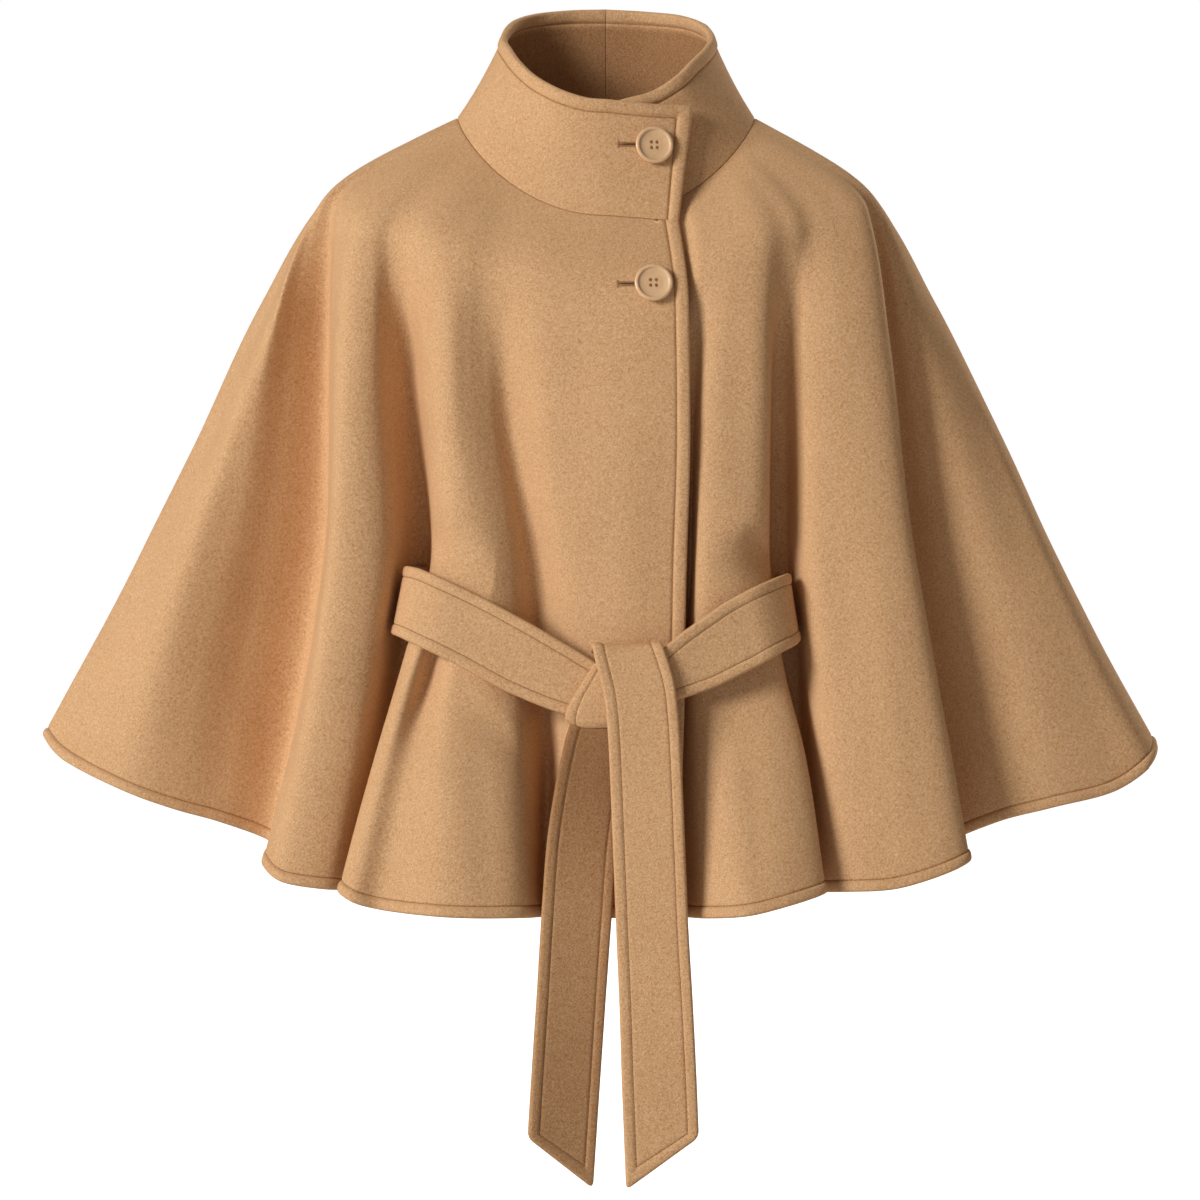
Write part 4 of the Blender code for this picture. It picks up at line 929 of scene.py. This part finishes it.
def tuckUnder(over):
    # keeps the under front behind the over front, then behind the belt
    down = np.linspace(0, 1, 90)
    lines = [over.at(np.full_like(down, line), down) for line in (2.0, 1.0, 0.5, 0.0)]
    press = pressUnderBelt(lambda x: neck["lapInsetBelow"] * smoothStep(*cape["lapFade"], x))

    def tuck(points):
        x, y, z = points[..., 0], points[..., 1], points[..., 2]
        place = [np.interp(-z, -line[:, 2], line[:, 0]) for line in lines]
        depth = [np.interp(-z, -line[:, 2], line[:, 1])
                 + neck["collarLean"] * np.maximum(z - line[0, 2], 0) for line in lines]
        front = depth[0]
        for index in range(len(lines) - 1):
            share = np.clip((x - place[index]) / (place[index + 1] - place[index]), 0, 1)
            front = front + (depth[index + 1] - depth[index]) * share
        limit = front + neck["lapInsetBelow"]
        hold = smoothStep(place[-1] + 9, place[-1] + 2, x)    # lets go just past the over edge
        tucked = np.where(y < limit, y + (limit - y) * hold, y)
        return press(np.stack((x, tucked, z), axis=-1))

    return tuck


def columnPlan(loft, ridge, lapsOver):
    # fold line number and distance from that line, for each column: the edge's own, those between
    # the lines, and a seam's own on both sides of the ridge and at the middle of the back
    last = len(loft.angles) - 1
    if lapsOver:
        plan = [(0.0, step) for step in edgeSteps] + [(0.68, 0.0), (0.84, 0.0), (1.0, 0.0)]
    else:
        plan = [(0.0, step) for step in seamSteps] + [(0.32, 0.0), (0.49, 0.0), (0.66, 0.0), (0.83, 0.0)]
        plan.append((1.0, 0.0))
    down = np.array((0.15, 0.3, 0.53, 0.75, 1.0))
    for line in range(1, last):
        wide = loft.width(np.full(5, line + 0.5), down).max()
        count = max(1, math.ceil(wide / cape["column"]))
        shares = (np.arange(count) + 1) / count
        if line + 1 in (ridge, last):
            plan += [(line + share, 0.0) for share in shares if share < 0.52]
            plan += [(float(line + 1), -step) for step in reversed(seamSteps)]
        elif line == ridge:
            plan += [(float(ridge), step) for step in seamSteps[1:]]
            plan += [(line + share, 0.0) for share in shares if share > 0.48]
        else:
            plan += [(line + share, 0.0) for share in shares]
    return plan


def rowShares(slit):
    # rows are even between the neck seam's own, the slit's two ends and the hem's own
    marks = (cape["firstRow"], slit[0], slit[1], cape["lastRow"])
    shares = [marks[0]]
    for low, high in zip(marks, marks[1:]):
        count = math.ceil((high - low) * cape["length"] / cape["row"])
        shares += list(low + (high - low) * (np.arange(count) + 1) / count)
    return shares


def halfGrid(loft, ridge, slitLine, slit, lapsOver):
    # one grid from the front edge round to the middle of the back; each point knows how far every
    # edge and seam is from it
    plan = columnPlan(loft, ridge, lapsOver)
    nominal, offset = (np.array(column) for column in zip(*plan))
    length = loft.length(nominal)
    shares = rowShares(slit)
    hem = np.array(edgeSteps[::-1]) * cape["hemStitch"] / stitchAt
    down = np.array([step / length for step in seamSteps] + [np.full_like(nominal, s) for s in shares]
                    + [1 - step / length for step in hem])
    across = np.broadcast_to(nominal, down.shape).copy()
    moved = offset != 0
    wide = loft.width(across[:, moved], down[:, moved])
    part = offset[moved] / wide
    # a seam's own columns stay within half of the way to the next line, where lines run together
    inner = (nominal[moved] != 0) & (np.abs(offset[moved]) <= seamSteps[-1])
    limit = 0.45 * np.abs(offset[moved]) / seamSteps[-1]
    part = np.where(inner, np.clip(part, -limit, limit), part)
    across[:, moved] += part
    points = loft.at(across, down)
    fromHem = (1 - down) * length * stitchAt / cape["hemStitch"]
    fromNeck = down * length
    fromEdge = np.full(down.shape, far)
    fromEdge[:, nominal == 0] = offset[nominal == 0]
    fromSeam = np.full(down.shape, far)
    gapped = np.zeros(down.shape)
    gapped[:, moved] = np.abs(part) * wide
    for line in (ridge, len(loft.angles) - 1):
        fromSeam[:, nominal == line] = gapped[:, nominal == line]
    points = roundTip(points, nominal, ridge, fromHem)
    free = fromEdge if lapsOver else np.full(down.shape, far)
    plain = np.full(down.shape, far) if lapsOver else fromEdge
    edge = np.minimum(fromHem, free)
    points[:, nearEdge], edge[:, nearEdge] = roundCorner(
        points[:, nearEdge], fromEdge[:, nearEdge], fromHem[:, nearEdge], cape["cornerRound"])
    if not lapsOver:
        edge = fromHem
    normals = gridNormals(points, np.sign(loft.angles[-1] - loft.angles[0]))
    angles = np.interp(across[0], np.arange(len(loft.angles)), loft.angles)
    seamNormal = np.array([neckNormal(angle, loft.over) for angle in angles])
    blend = smoothStep(cape["neckBlend"], 0, fromNeck)[..., None]
    normals = unit(normals * (1 - blend) + seamNormal * blend)
    toMiddle = np.abs(points[..., 0])
    behind = nominal > ridge
    normals[:, behind, 0] *= smoothStep(0, cape["middleBlend"], toMiddle[:, behind])
    normals = unit(normals)
    relief = unevenness(points) + creased(points, np.abs(normals[..., 1]))
    points = points + normals * (relief * smoothStep(0, cape["smoothTop"], fromNeck))[..., None]
    travelled = lengthAlong(points[-1])
    run = np.where(free < fromHem, fromNeck, travelled)
    openCells = np.zeros((len(down) - 1, len(plan) - 1), bool)
    rows = slice(len(seamSteps) + shares.index(slit[0]), len(seamSteps) + shares.index(slit[1]))
    columns = np.searchsorted(nominal, (slitLine, slitLine + 1))
    openCells[rows, columns[0]:columns[1]] = True
    # the turned edge of the lap keeps its thickness up to the neck seam
    fromTop = fromNeck + (far * smoothStep(10.4, 9.4, fromEdge) if lapsOver else 0.0)
    return {"points": points, "normals": normals, "edge": edge, "run": run, "open": openCells,
            "seam": np.minimum(np.minimum(fromTop, fromSeam), plain),
            "ridge": int(np.flatnonzero((nominal == ridge) & (offset == 0))[0]),
            "stitchColumn": edgeSteps.index(stitchAt) if lapsOver else None,
            "stitchRow": len(down) - 1 - edgeSteps.index(stitchAt)}


def roundTip(points, nominal, ridge, fromHem):
    # the wing tips are rounded where the folded edge meets the hem
    radius = cape["tipRound"]
    inside = np.clip(radius - fromHem, 0, radius)
    inset = 0.75 * (radius - np.sqrt(radius ** 2 - inside ** 2))
    tip = np.abs(points[-1, nominal == ridge, 0]).max()
    near = smoothStep(tip - 16, tip - 1, np.abs(points[-1:, :, 0])) * (np.abs(nominal - ridge) < 1.2)
    points[..., 0] -= np.sign(points[..., 0]) * inset * near
    return points


def slicedGrid(grid, columns):
    # a panel's own part of its half
    return {key: grid[key][:, columns] for key in ("points", "normals", "edge", "run", "seam")}


mirroredBack = [mirrored(line) for line in back]
rightLoft = Loft([*rightFront, rightRidge, *mirroredBack, mirrored(backMiddle)],
                 pressUnderBelt(np.zeros_like), over=True)
leftLoft = Loft([*leftFront, leftRidge, *back, backMiddle], tuckUnder(rightLoft))
halves = {}
for side, loft, lines in (("right", rightLoft, rightFront), ("left", leftLoft, leftFront)):
    slitLine = [line[0] for line in lines].index("slit in")
    halves[side] = halfGrid(loft, len(lines), slitLine, cape[f"{side}Slit"], side == "right")
print("halves", {side: grid["points"].shape for side, grid in halves.items()})

for side, grid in halves.items():
    ridge = grid["ridge"]
    for part, columns in (("front", slice(0, ridge + 1)), ("back", slice(ridge, None))):
        cells = grid["open"][:, columns.start:(columns.stop or len(grid["open"][0]) + 1) - 1]
        name = f"{part}_{side}"
        piece = dressed(wallMesh(f"{name}_cloth", slicedGrid(grid, columns), cape, cells), woolCape)
        pieces[name] = settle(piece, "wool", name)
    piece = sewn(f"hem_{side}_stitches", turnedLines(grid, cape), thread, stitch)
    pieces[f"hem_{side}"] = settle(piece, "wool")
print("panels built")

# The collar's cloth in the same terms, then its own shape and mesh
collar = {
    # the inner skin carries strong painted shade, for the dark inside of the collar
    "wall": 2.8, "pad": 1.8, "inner": 0.8, "stitchLine": 10.2, "groove": 0.85, "paintedInsideShade": 0.42,
    "hollow": 0.8,                        # how far its side curves in
    "column": 3.6, "rows": 15, "cornerRound": 4.5, "neckBlend": 16.0, "middleBlend": 6.0,
}

# collar lines: name, angle round the neck, then the rim's place
overCollar = (
    ("over edge", 29, (64, -60, 5)),
    ("over lap", 16, (34, -67.5, 6)),
    ("front", 1, (0, -72, 9)),
    ("near front", -12, (-13, -72, 10)),
    ("front right", -33, (-32, -68, 16)),
    ("half right", -50, (-51, -54, 27)),
    ("fore right", -65, (-64, -37, 40)),
    ("side right", -80, (-71, -18, 51)),
    ("right", -97, (-75.5, 4, 61)),
    ("aft right", -115, (-69, 26, 74)),
    ("rear right", -132, (-55, 46, 81)),
    ("back right", -155, (-28, 60, 85)),
)
collarBack = ("back", 180, (0, 64, 86))
underCollar = (
    ("under edge", 3, (2, -65, 6.5)),
    ("under front", 14, (14, -64, 10)),
    ("under lap", 33, (34, -59, 16)),
    ("half left", 50, (52, -51, 28)),
    ("fore left", 65, (63, -36, 40)),
    ("side left", 80, (73, -18, 51)),
    ("left", 97, (78, 4, 61)),
    ("aft left", 115, (73, 26, 72)),
    ("rear left", 132, (57, 46, 80)),
    ("back left", 155, (30, 60, 84)),
)


def collarGrid(lines, over):
    # one grid from the front end round to the middle of the back, from the neck seam up to the rim
    side = np.sign(lines[-1][1])
    lineAngles = np.array([line[1] for line in lines], float)
    rims = np.array([line[2] for line in lines], float)

    def ringsAt(angles):
        columns = np.interp(side * angles, side * lineAngles, np.arange(len(lines)))
        return np.array([neckPoint(angle, over) for angle in angles]), centripetal(rims, columns)

    dense = np.linspace(lineAngles[0], lineAngles[-1], 400)
    foot, rim = ringsAt(dense)
    travelled = lengthAlong((foot + rim) / 2)
    total = travelled[-1]
    count = math.ceil((total - turnedIn - 4.0) / collar["column"])
    spots = list(edgeSteps) + list(np.linspace(turnedIn, total - seamSteps[-1], count)[1:-1])
    spots = np.array(spots + [total - step for step in reversed(seamSteps)])
    angles = np.interp(spots, travelled, dense)
    foot, rim = ringsAt(angles)
    foot[-1, 0] = rim[-1, 0] = 0.0
    height = np.linalg.norm(rim - foot, axis=-1)
    rows = [np.full_like(height, step) for step in seamSteps]
    between = height - turnedIn - seamSteps[-1]
    rows += [seamSteps[-1] + between * step / collar["rows"] for step in range(1, collar["rows"])]
    rows += [height - step for step in reversed(edgeSteps)]
    up = (np.array(rows) / height)[..., None]
    face = unit(np.cross(np.gradient((foot + rim) / 2, axis=0), rim - foot)) * side
    face[-1] = unit(face[-1] * np.array((0, 1, 1)))
    points = foot + (rim - foot) * up - face * collar["hollow"] * 4 * up * (1 - up)
    fromRim = (1 - up[..., 0]) * height
    fromEnd = np.broadcast_to(spots, fromRim.shape)
    fromFoot = up[..., 0] * height + (far * smoothStep(10.4, 9.4, fromEnd) if over else 0.0)
    fromSeam = np.minimum(fromFoot, (total - fromEnd) * 2.5)
    edge = np.minimum(fromRim, fromEnd)
    points[:, nearEdge], edge[:, nearEdge] = roundCorner(
        points[:, nearEdge], fromEnd[:, nearEdge], fromRim[:, nearEdge], collar["cornerRound"])
    normals = -gridNormals(points, side)
    if (normals * face).sum() < 0:
        normals = -normals
    seamNormal = np.array([neckNormal(angle, over) for angle in angles])
    blend = smoothStep(collar["neckBlend"], 0, up * height[:, None])
    normals = unit(normals * (1 - blend) + seamNormal * blend)
    normals[..., 0] *= smoothStep(0, collar["middleBlend"], total - fromEnd)
    normals = unit(normals)
    run = np.where(fromEnd < fromRim, up[..., 0] * height, fromEnd)
    return {"points": points, "normals": normals, "edge": edge, "seam": fromSeam, "run": run,
            "stitchColumn": edgeSteps.index(stitchAt),
            "stitchRow": len(rows) - 1 - edgeSteps.index(stitchAt)}


collars = {"right": collarGrid([*overCollar, (collarBack[0], -180, collarBack[2])], True),
           "left": collarGrid([*underCollar, collarBack], False)}
for side, grid in collars.items():
    name = f"collar_{side}"
    pieces[name] = settle(dressed(wallMesh(f"{name}_cloth", grid, collar), woolCape), "wool", name)
    piece = sewn(f"{name}_stitches", turnedLines(grid, collar), thread, stitch)
    pieces[f"rim_{side}"] = settle(piece, "wool")
print("collar built")

# The belt's shapes stand above, because the panels are pressed behind it
beltGrids = {"belt_waist": waistGrid(), "belt_knot": knotGrid(),
             "belt_tail_front": tailGrid(frontTail, tailPoint["slope"]),
             "belt_tail_rear": tailGrid(rearTail, -tailPoint["slope"])}
# painted shadow on the rear end, darkest just under the knot and gone lower down
rear = beltGrids["belt_tail_rear"]
lit = smoothStep(belt["knotShadowFrom"], belt["knotShadowTo"], rear["points"][..., 2])
rear["tone"] = belt["knotPaintedShadow"] + (1 - belt["knotPaintedShadow"]) * lit
for name, grid in beltGrids.items():
    style = {**belt, "paintedShade": belt["rearPaintedShade"]} if grid is rear else belt
    piece = dressed(wallMesh(f"{name}_cloth", grid, style), woolBelt)
    pieces[name] = settle(piece, "wool_belt", name)
    piece = sewn(f"{name}_stitches", beltLines(grid), thread, stitch)
    pieces[f"{name}_stitches"] = settle(piece, "wool_belt")
print("belt built")

# A button: radius, half its thickness, the rim's width, the dish's depth and the gap to the cloth,
# then its four holes' radius and spacing, and how far their floor is from its back
button = {
    "radius": 14.0, "half": 2.2, "rim": 2.7, "dish": 1.35, "seat": 0.4, "turns": 96,
    "hole": 1.32, "pitch": 4.15, "holeFloor": 0.9, "holeTurns": 28,
    "upper": (17.0, 0.63),     # angle round the neck and share of the way up the collar
    "lower": (0.86, 0.096),    # place across the over front's fold lines and down them
}


def lathe(profile, turns):
    # a closed turned form from its profile of reach and height, pole to pole
    rings = np.array(profile[1:-1], float)
    turn = np.arange(turns) * 2 * math.pi / turns
    circle = np.column_stack((np.cos(turn), np.sin(turn)))
    coords = [(0, 0, profile[0][1]), (0, 0, profile[-1][1])]
    for reach, height in rings:
        coords += [(reach * c, reach * s, height) for c, s in circle]
    faces = []
    for k in range(turns):
        after = (k + 1) % turns
        faces.append((0, 2 + k, 2 + after))
        for ring in range(len(rings) - 1):
            low, high = 2 + ring * turns, 2 + (ring + 1) * turns
            faces.append((low + k, high + k, high + after, low + after))
        last = 2 + (len(rings) - 1) * turns
        faces.append((1, last + after, last + k))
    return coords, faces


def buttonMesh(name, surface, outward):
    # a turned disc with a rim and a dish, and four blind holes cut in it
    radius, half, rim = button["radius"], button["half"], button["rim"]
    dish = half - button["dish"]
    inside = radius - rim
    # across the dish, over the rim and round to the back
    profile = [(0, dish), (6, dish), (inside - 0.5, dish + 0.12), (inside - 0.25, dish + 0.3),
               (inside - 0.05, half - 0.4), (inside + 0.25, half - 0.1), (inside + 0.7, half),
               (radius - 1.3, half - 0.02), (radius - 0.6, half - 0.25), (radius - 0.15, half - 0.8),
               (radius, half - 1.5), (radius - 0.2, half - 2.3), (radius - 0.9, -half + 0.7),
               (radius - 2.2, -half + 0.1), (radius - 3.5, -half), (0, -half)]
    disc = meshObject(name, *lathe(profile, button["turns"]))
    hole = button["hole"]
    top, floor = half + 0.8, button["holeFloor"] - half
    cut = [(0, top), (hole + 0.15, top), (hole + 0.15, dish + 0.02), (hole + 0.04, dish - 0.12),
           (hole, dish - 0.2), (hole, floor), (0, floor)]
    cutters = []
    for index in range(4):
        coords, faces = lathe(cut, button["holeTurns"])
        shift = np.array((index % 2 - 0.5, index // 2 - 0.5, 0)) * button["pitch"]
        cutter = meshObject(f"{name}Hole{index}", np.array(coords) + shift, faces)
        change = disc.modifiers.new("hole", "BOOLEAN")
        change.object, change.solver, change.operation = cutter, "EXACT", "DIFFERENCE"
        cutters.append(cutter)
    disc = plainCopy(disc)
    for cutter in cutters:
        bpy.data.objects.remove(cutter, do_unlink=True)
    # the faces down in the holes take the painted shade
    for face in disc.data.polygons:
        x, y = (abs(abs(value) / mm - button["pitch"] / 2) for value in face.center[:2])
        face.material_index = int(math.hypot(x, y) < hole + 0.15 and face.center.z / mm < dish - 0.11)
    outward = unit(np.array(outward, float))
    side = unit(np.cross((0.0, 0.0, 1.0), outward))
    turn = np.eye(4)
    seat = surface + outward * (button["seat"] + half)
    turn[:3] = np.column_stack((side, np.cross(outward, side), outward, seat * mm))
    disc.data.transform(Matrix(turn.tolist()))
    dressed(disc, resin, paintedShadeResin)
    disc.data.shade_smooth()
    disc.data.set_sharp_from_angle(angle=math.radians(48))
    return disc


def facingAt(grid, spot):
    # the way a sheet faces nearest to a place
    away = np.linalg.norm(grid["points"] - spot, axis=-1)
    return grid["normals"][np.unravel_index(away.argmin(), away.shape)]


def upOnCollar(angle, up):
    # a place on the over collar, from its angle round the neck and share of the way up
    angles = [line[1] for line in overCollar[::-1]]
    foot = neckPoint(angle, True)
    column = np.interp(angle, angles, np.arange(len(angles))[::-1])
    rim = centripetal(np.array([line[2] for line in overCollar], float), np.array([column]))[0]
    return foot + (rim - foot) * up


buttonSpots = {"upper": (upOnCollar(*button["upper"]), collars["right"], collar),
               "lower": (rightLoft.at(*button["lower"]), halves["right"], cape)}
for which, (spot, grid, style) in buttonSpots.items():
    name = f"button_{which}"
    pieces[name] = settle(buttonMesh(f"{name}_resin", spot, facingAt(grid, spot)), "button", name)
print("buttons built")

# A worked buttonhole: where it starts and ends beside the button's middle, half its lips' spacing,
# half its gap and its end bar, how far it sits above that middle, how deep it is, and the painted shade
# that darkens its slit
buttonhole = {
    "from": -8.0, "to": -25.4, "lip": 1.25, "gap": 0.85, "bar": 2.7,
    "rise": {"upper": 1.1, "lower": 0.0}, "depth": 0.5, "paintedShade": 0.16,
}


def inFront(grid, outer, places):
    # a sheet's outer skin straight in front of each x, z, and the way it faces there
    found = []
    for x, z in places:
        away = np.hypot(outer[..., 0] - x, outer[..., 2] - z) + far * (outer[..., 1] > -40)
        spot = np.unravel_index(away.argmin(), away.shape)
        near, facing = outer[spot], grid["normals"][spot]
        depth = ((x - near[0]) * facing[0] + (z - near[2]) * facing[2]) / facing[1]
        found.append(((x, near[1] - depth, z), facing))
    return [np.array(part) for part in zip(*found)]


def buttonholeParts(which, grid, style, centre):
    # a narrow slit dark with painted shade, purl stitches along both its lips and a bar of them at its end
    outer = skins(grid, style)[0]
    x, z = centre[0] + np.linspace(buttonhole["from"], buttonhole["to"], 24), centre[2]
    lips = [inFront(grid, outer, [(place, z + side * buttonhole["lip"]) for place in x])
            for side in (-1, 1)]
    end = inFront(grid, outer, [(x[-1] - 0.6, z + rise) for rise in
                                np.linspace(-buttonhole["bar"], buttonhole["bar"], 9)])
    places, facings = inFront(grid, outer, [(place, z) for place in x])
    half = buttonhole["gap"] * np.interp(np.arange(len(x)), (0, 12, len(x) - 1), (1.0, 0.8, 0.35))
    up, deep = np.array((0.0, 0.0, 1.0)), buttonhole["depth"]
    rings = [places + facings * lift + up * (half * side)[:, None]
             for side, lift in ((-1, 0.12), (1, 0.12), (1, -deep), (-1, -deep))]
    count = len(x)
    faces = [(k * count + n, k * count + n + 1, (k + 1) % 4 * count + n + 1, (k + 1) % 4 * count + n)
             for k in range(4) for n in range(count - 1)]
    faces += [(3 * count, 2 * count, count, 0), (count - 1, 2 * count - 1, 3 * count - 1, 4 * count - 1)]
    data = {"edge": np.full(4 * count, far), "paintedShade": np.full(4 * count, buttonhole["paintedShade"])}
    slit = meshObject(f"buttonhole_{which}_slit", np.concatenate(rings), faces, data)
    dressed(slit, woolCape).data.shade_flat()
    return {"slit": slit, "lips": sewn(f"buttonhole_{which}_lips", lips, twist, purl),
            "bar": sewn(f"buttonhole_{which}_bar", [end], twist, purlBar)}


for which, (spot, grid, style) in buttonSpots.items():
    centre = spot + np.array((0, 0, buttonhole["rise"][which]))
    for label, piece in buttonholeParts(which, grid, style, centre).items():
        pieces[f"buttonhole_{which}_{label}"] = settle(piece, "wool")
print("buttonholes built")

# A pale floor, a softbox at the upper left in front and a smaller light from behind, and a level
# camera. Floor and world show white, but light the cape as a dimmer, warmer room would
room = {
    "white": "#ffffff", "floor": "#e1e1e1", "fill": "#ffefde", "fillStrength": 0.16, "floorGlow": 0.95,
    "floorWide": 30.0, "floorLow": -0.86,
    # size, power and place
    "lamps": {"key softbox": (3.4, 810, (-7.2, -6.1, 2.86)),
              "back softbox": (3.2, 450, (5.6, 6.4, 4.6))},
    "middle": (-0.00444, 0, -0.35668), "cameraAway": 5.0, "viewWide": 0.888, "filmWide": 36,
}
scene = bpy.context.scene
scene.view_settings.view_transform = "Standard"
world = bpy.data.worlds.new("studio")
scene.world = world
world.use_nodes = True
tree = world.node_tree
tree.nodes.clear()
seen = addNode(tree, "ShaderNodeLightPath").outputs["Is Camera Ray"]
fill = addNode(tree, "ShaderNodeBackground", {"Color": linear(room["fill"]),
                                              "Strength": room["fillStrength"]})
backdrop = addNode(tree, "ShaderNodeBackground", {"Color": linear(room["white"]), "Strength": 1.0})
sky = addNode(tree, "ShaderNodeMixShader", {0: seen, 1: fill.outputs[0], 2: backdrop.outputs[0]})
addNode(tree, "ShaderNodeOutputWorld", {"Surface": sky.outputs[0]})

floorMesh = bpy.data.meshes.new("floor")
wide, low = room["floorWide"], room["floorLow"]
corners = [(-wide, -wide, low), (wide, -wide, low), (wide, wide, low), (-wide, wide, low)]
floorMesh.from_pydata(corners, [], [(0, 1, 2, 3)])
floor = placed("floor", floorMesh)
pale = bpy.data.materials.new("paleFloor")
pale.use_nodes = True
tree = pale.node_tree
tree.nodes.clear()
seen = addNode(tree, "ShaderNodeLightPath").outputs["Is Camera Ray"]
matt = addNode(tree, "ShaderNodeBsdfDiffuse", {"Color": linear(room["floor"])})
glow = addNode(tree, "ShaderNodeEmission", {"Color": linear(room["white"]),
                                            "Strength": room["floorGlow"]})
both = addNode(tree, "ShaderNodeAddShader", {0: matt.outputs[0], 1: glow.outputs[0]})
mix = addNode(tree, "ShaderNodeMixShader", {0: seen, 1: matt.outputs[0], 2: both.outputs[0]})
addNode(tree, "ShaderNodeOutputMaterial", {"Surface": mix.outputs[0]})
dressed(floor, pale)

target = Vector(room["middle"])
for name, (size, energy, place) in room["lamps"].items():
    light = bpy.data.lights.new(name, "AREA")
    light.size, light.energy = size, energy
    lamp = placed(name, light)
    lamp.location = place
    lamp.rotation_euler = (target - lamp.location).to_track_quat("-Z", "Y").to_euler()

camera = bpy.data.cameras.new("camera")
camera.sensor_width, camera.clip_end = room["filmWide"], 80
camera.lens = room["filmWide"] * room["cameraAway"] / room["viewWide"]
eye = placed("camera", camera)
eye.location = (target.x, -room["cameraAway"], target.z)
eye.rotation_euler = (math.radians(90), 0, 0)
scene.camera = eye
print("room set")

# Each piece as it was cut: width and length in metres, the area its shape leaves of that, and what is
# sewn on it
lowerHole, upperHole = ([f"buttonhole_{which}_{part}" for part in ("slit", "lips", "bar")]
                        for which in ("lower", "upper"))
flats = {
    "front_right": (0.64, 0.6, 0.3, ["hem_right", *lowerHole]),
    "front_left": (0.54, 0.6, 0.25, ["hem_left"]),
    "back_right": (0.46, 0.62, 0.215, []),
    "back_left": (0.46, 0.62, 0.212, []),
    "collar_right": (0.36, 0.085, 0.0285, ["rim_right", *upperHole]),
    "collar_left": (0.3, 0.085, 0.0225, ["rim_left"]),
    "belt_waist": (1.12, 0.052, None, ["belt_waist_stitches"]),
    "belt_knot": (0.05, 0.05, None, ["belt_knot_stitches"]),
    "belt_tail_front": (0.053, 0.43, None, ["belt_tail_front_stitches"]),
    "belt_tail_rear": (0.053, 0.35, None, ["belt_tail_rear_stitches"]),
}
for name, (wide, long, area, sewnOn) in flats.items():
    measured = sum(face.area for face in pieces[name].data.polygons) / 2
    print(name, "measured", round(measured, 4), "of", area or round(wide * long, 4))
    [pieces[other] for other in sewnOn]
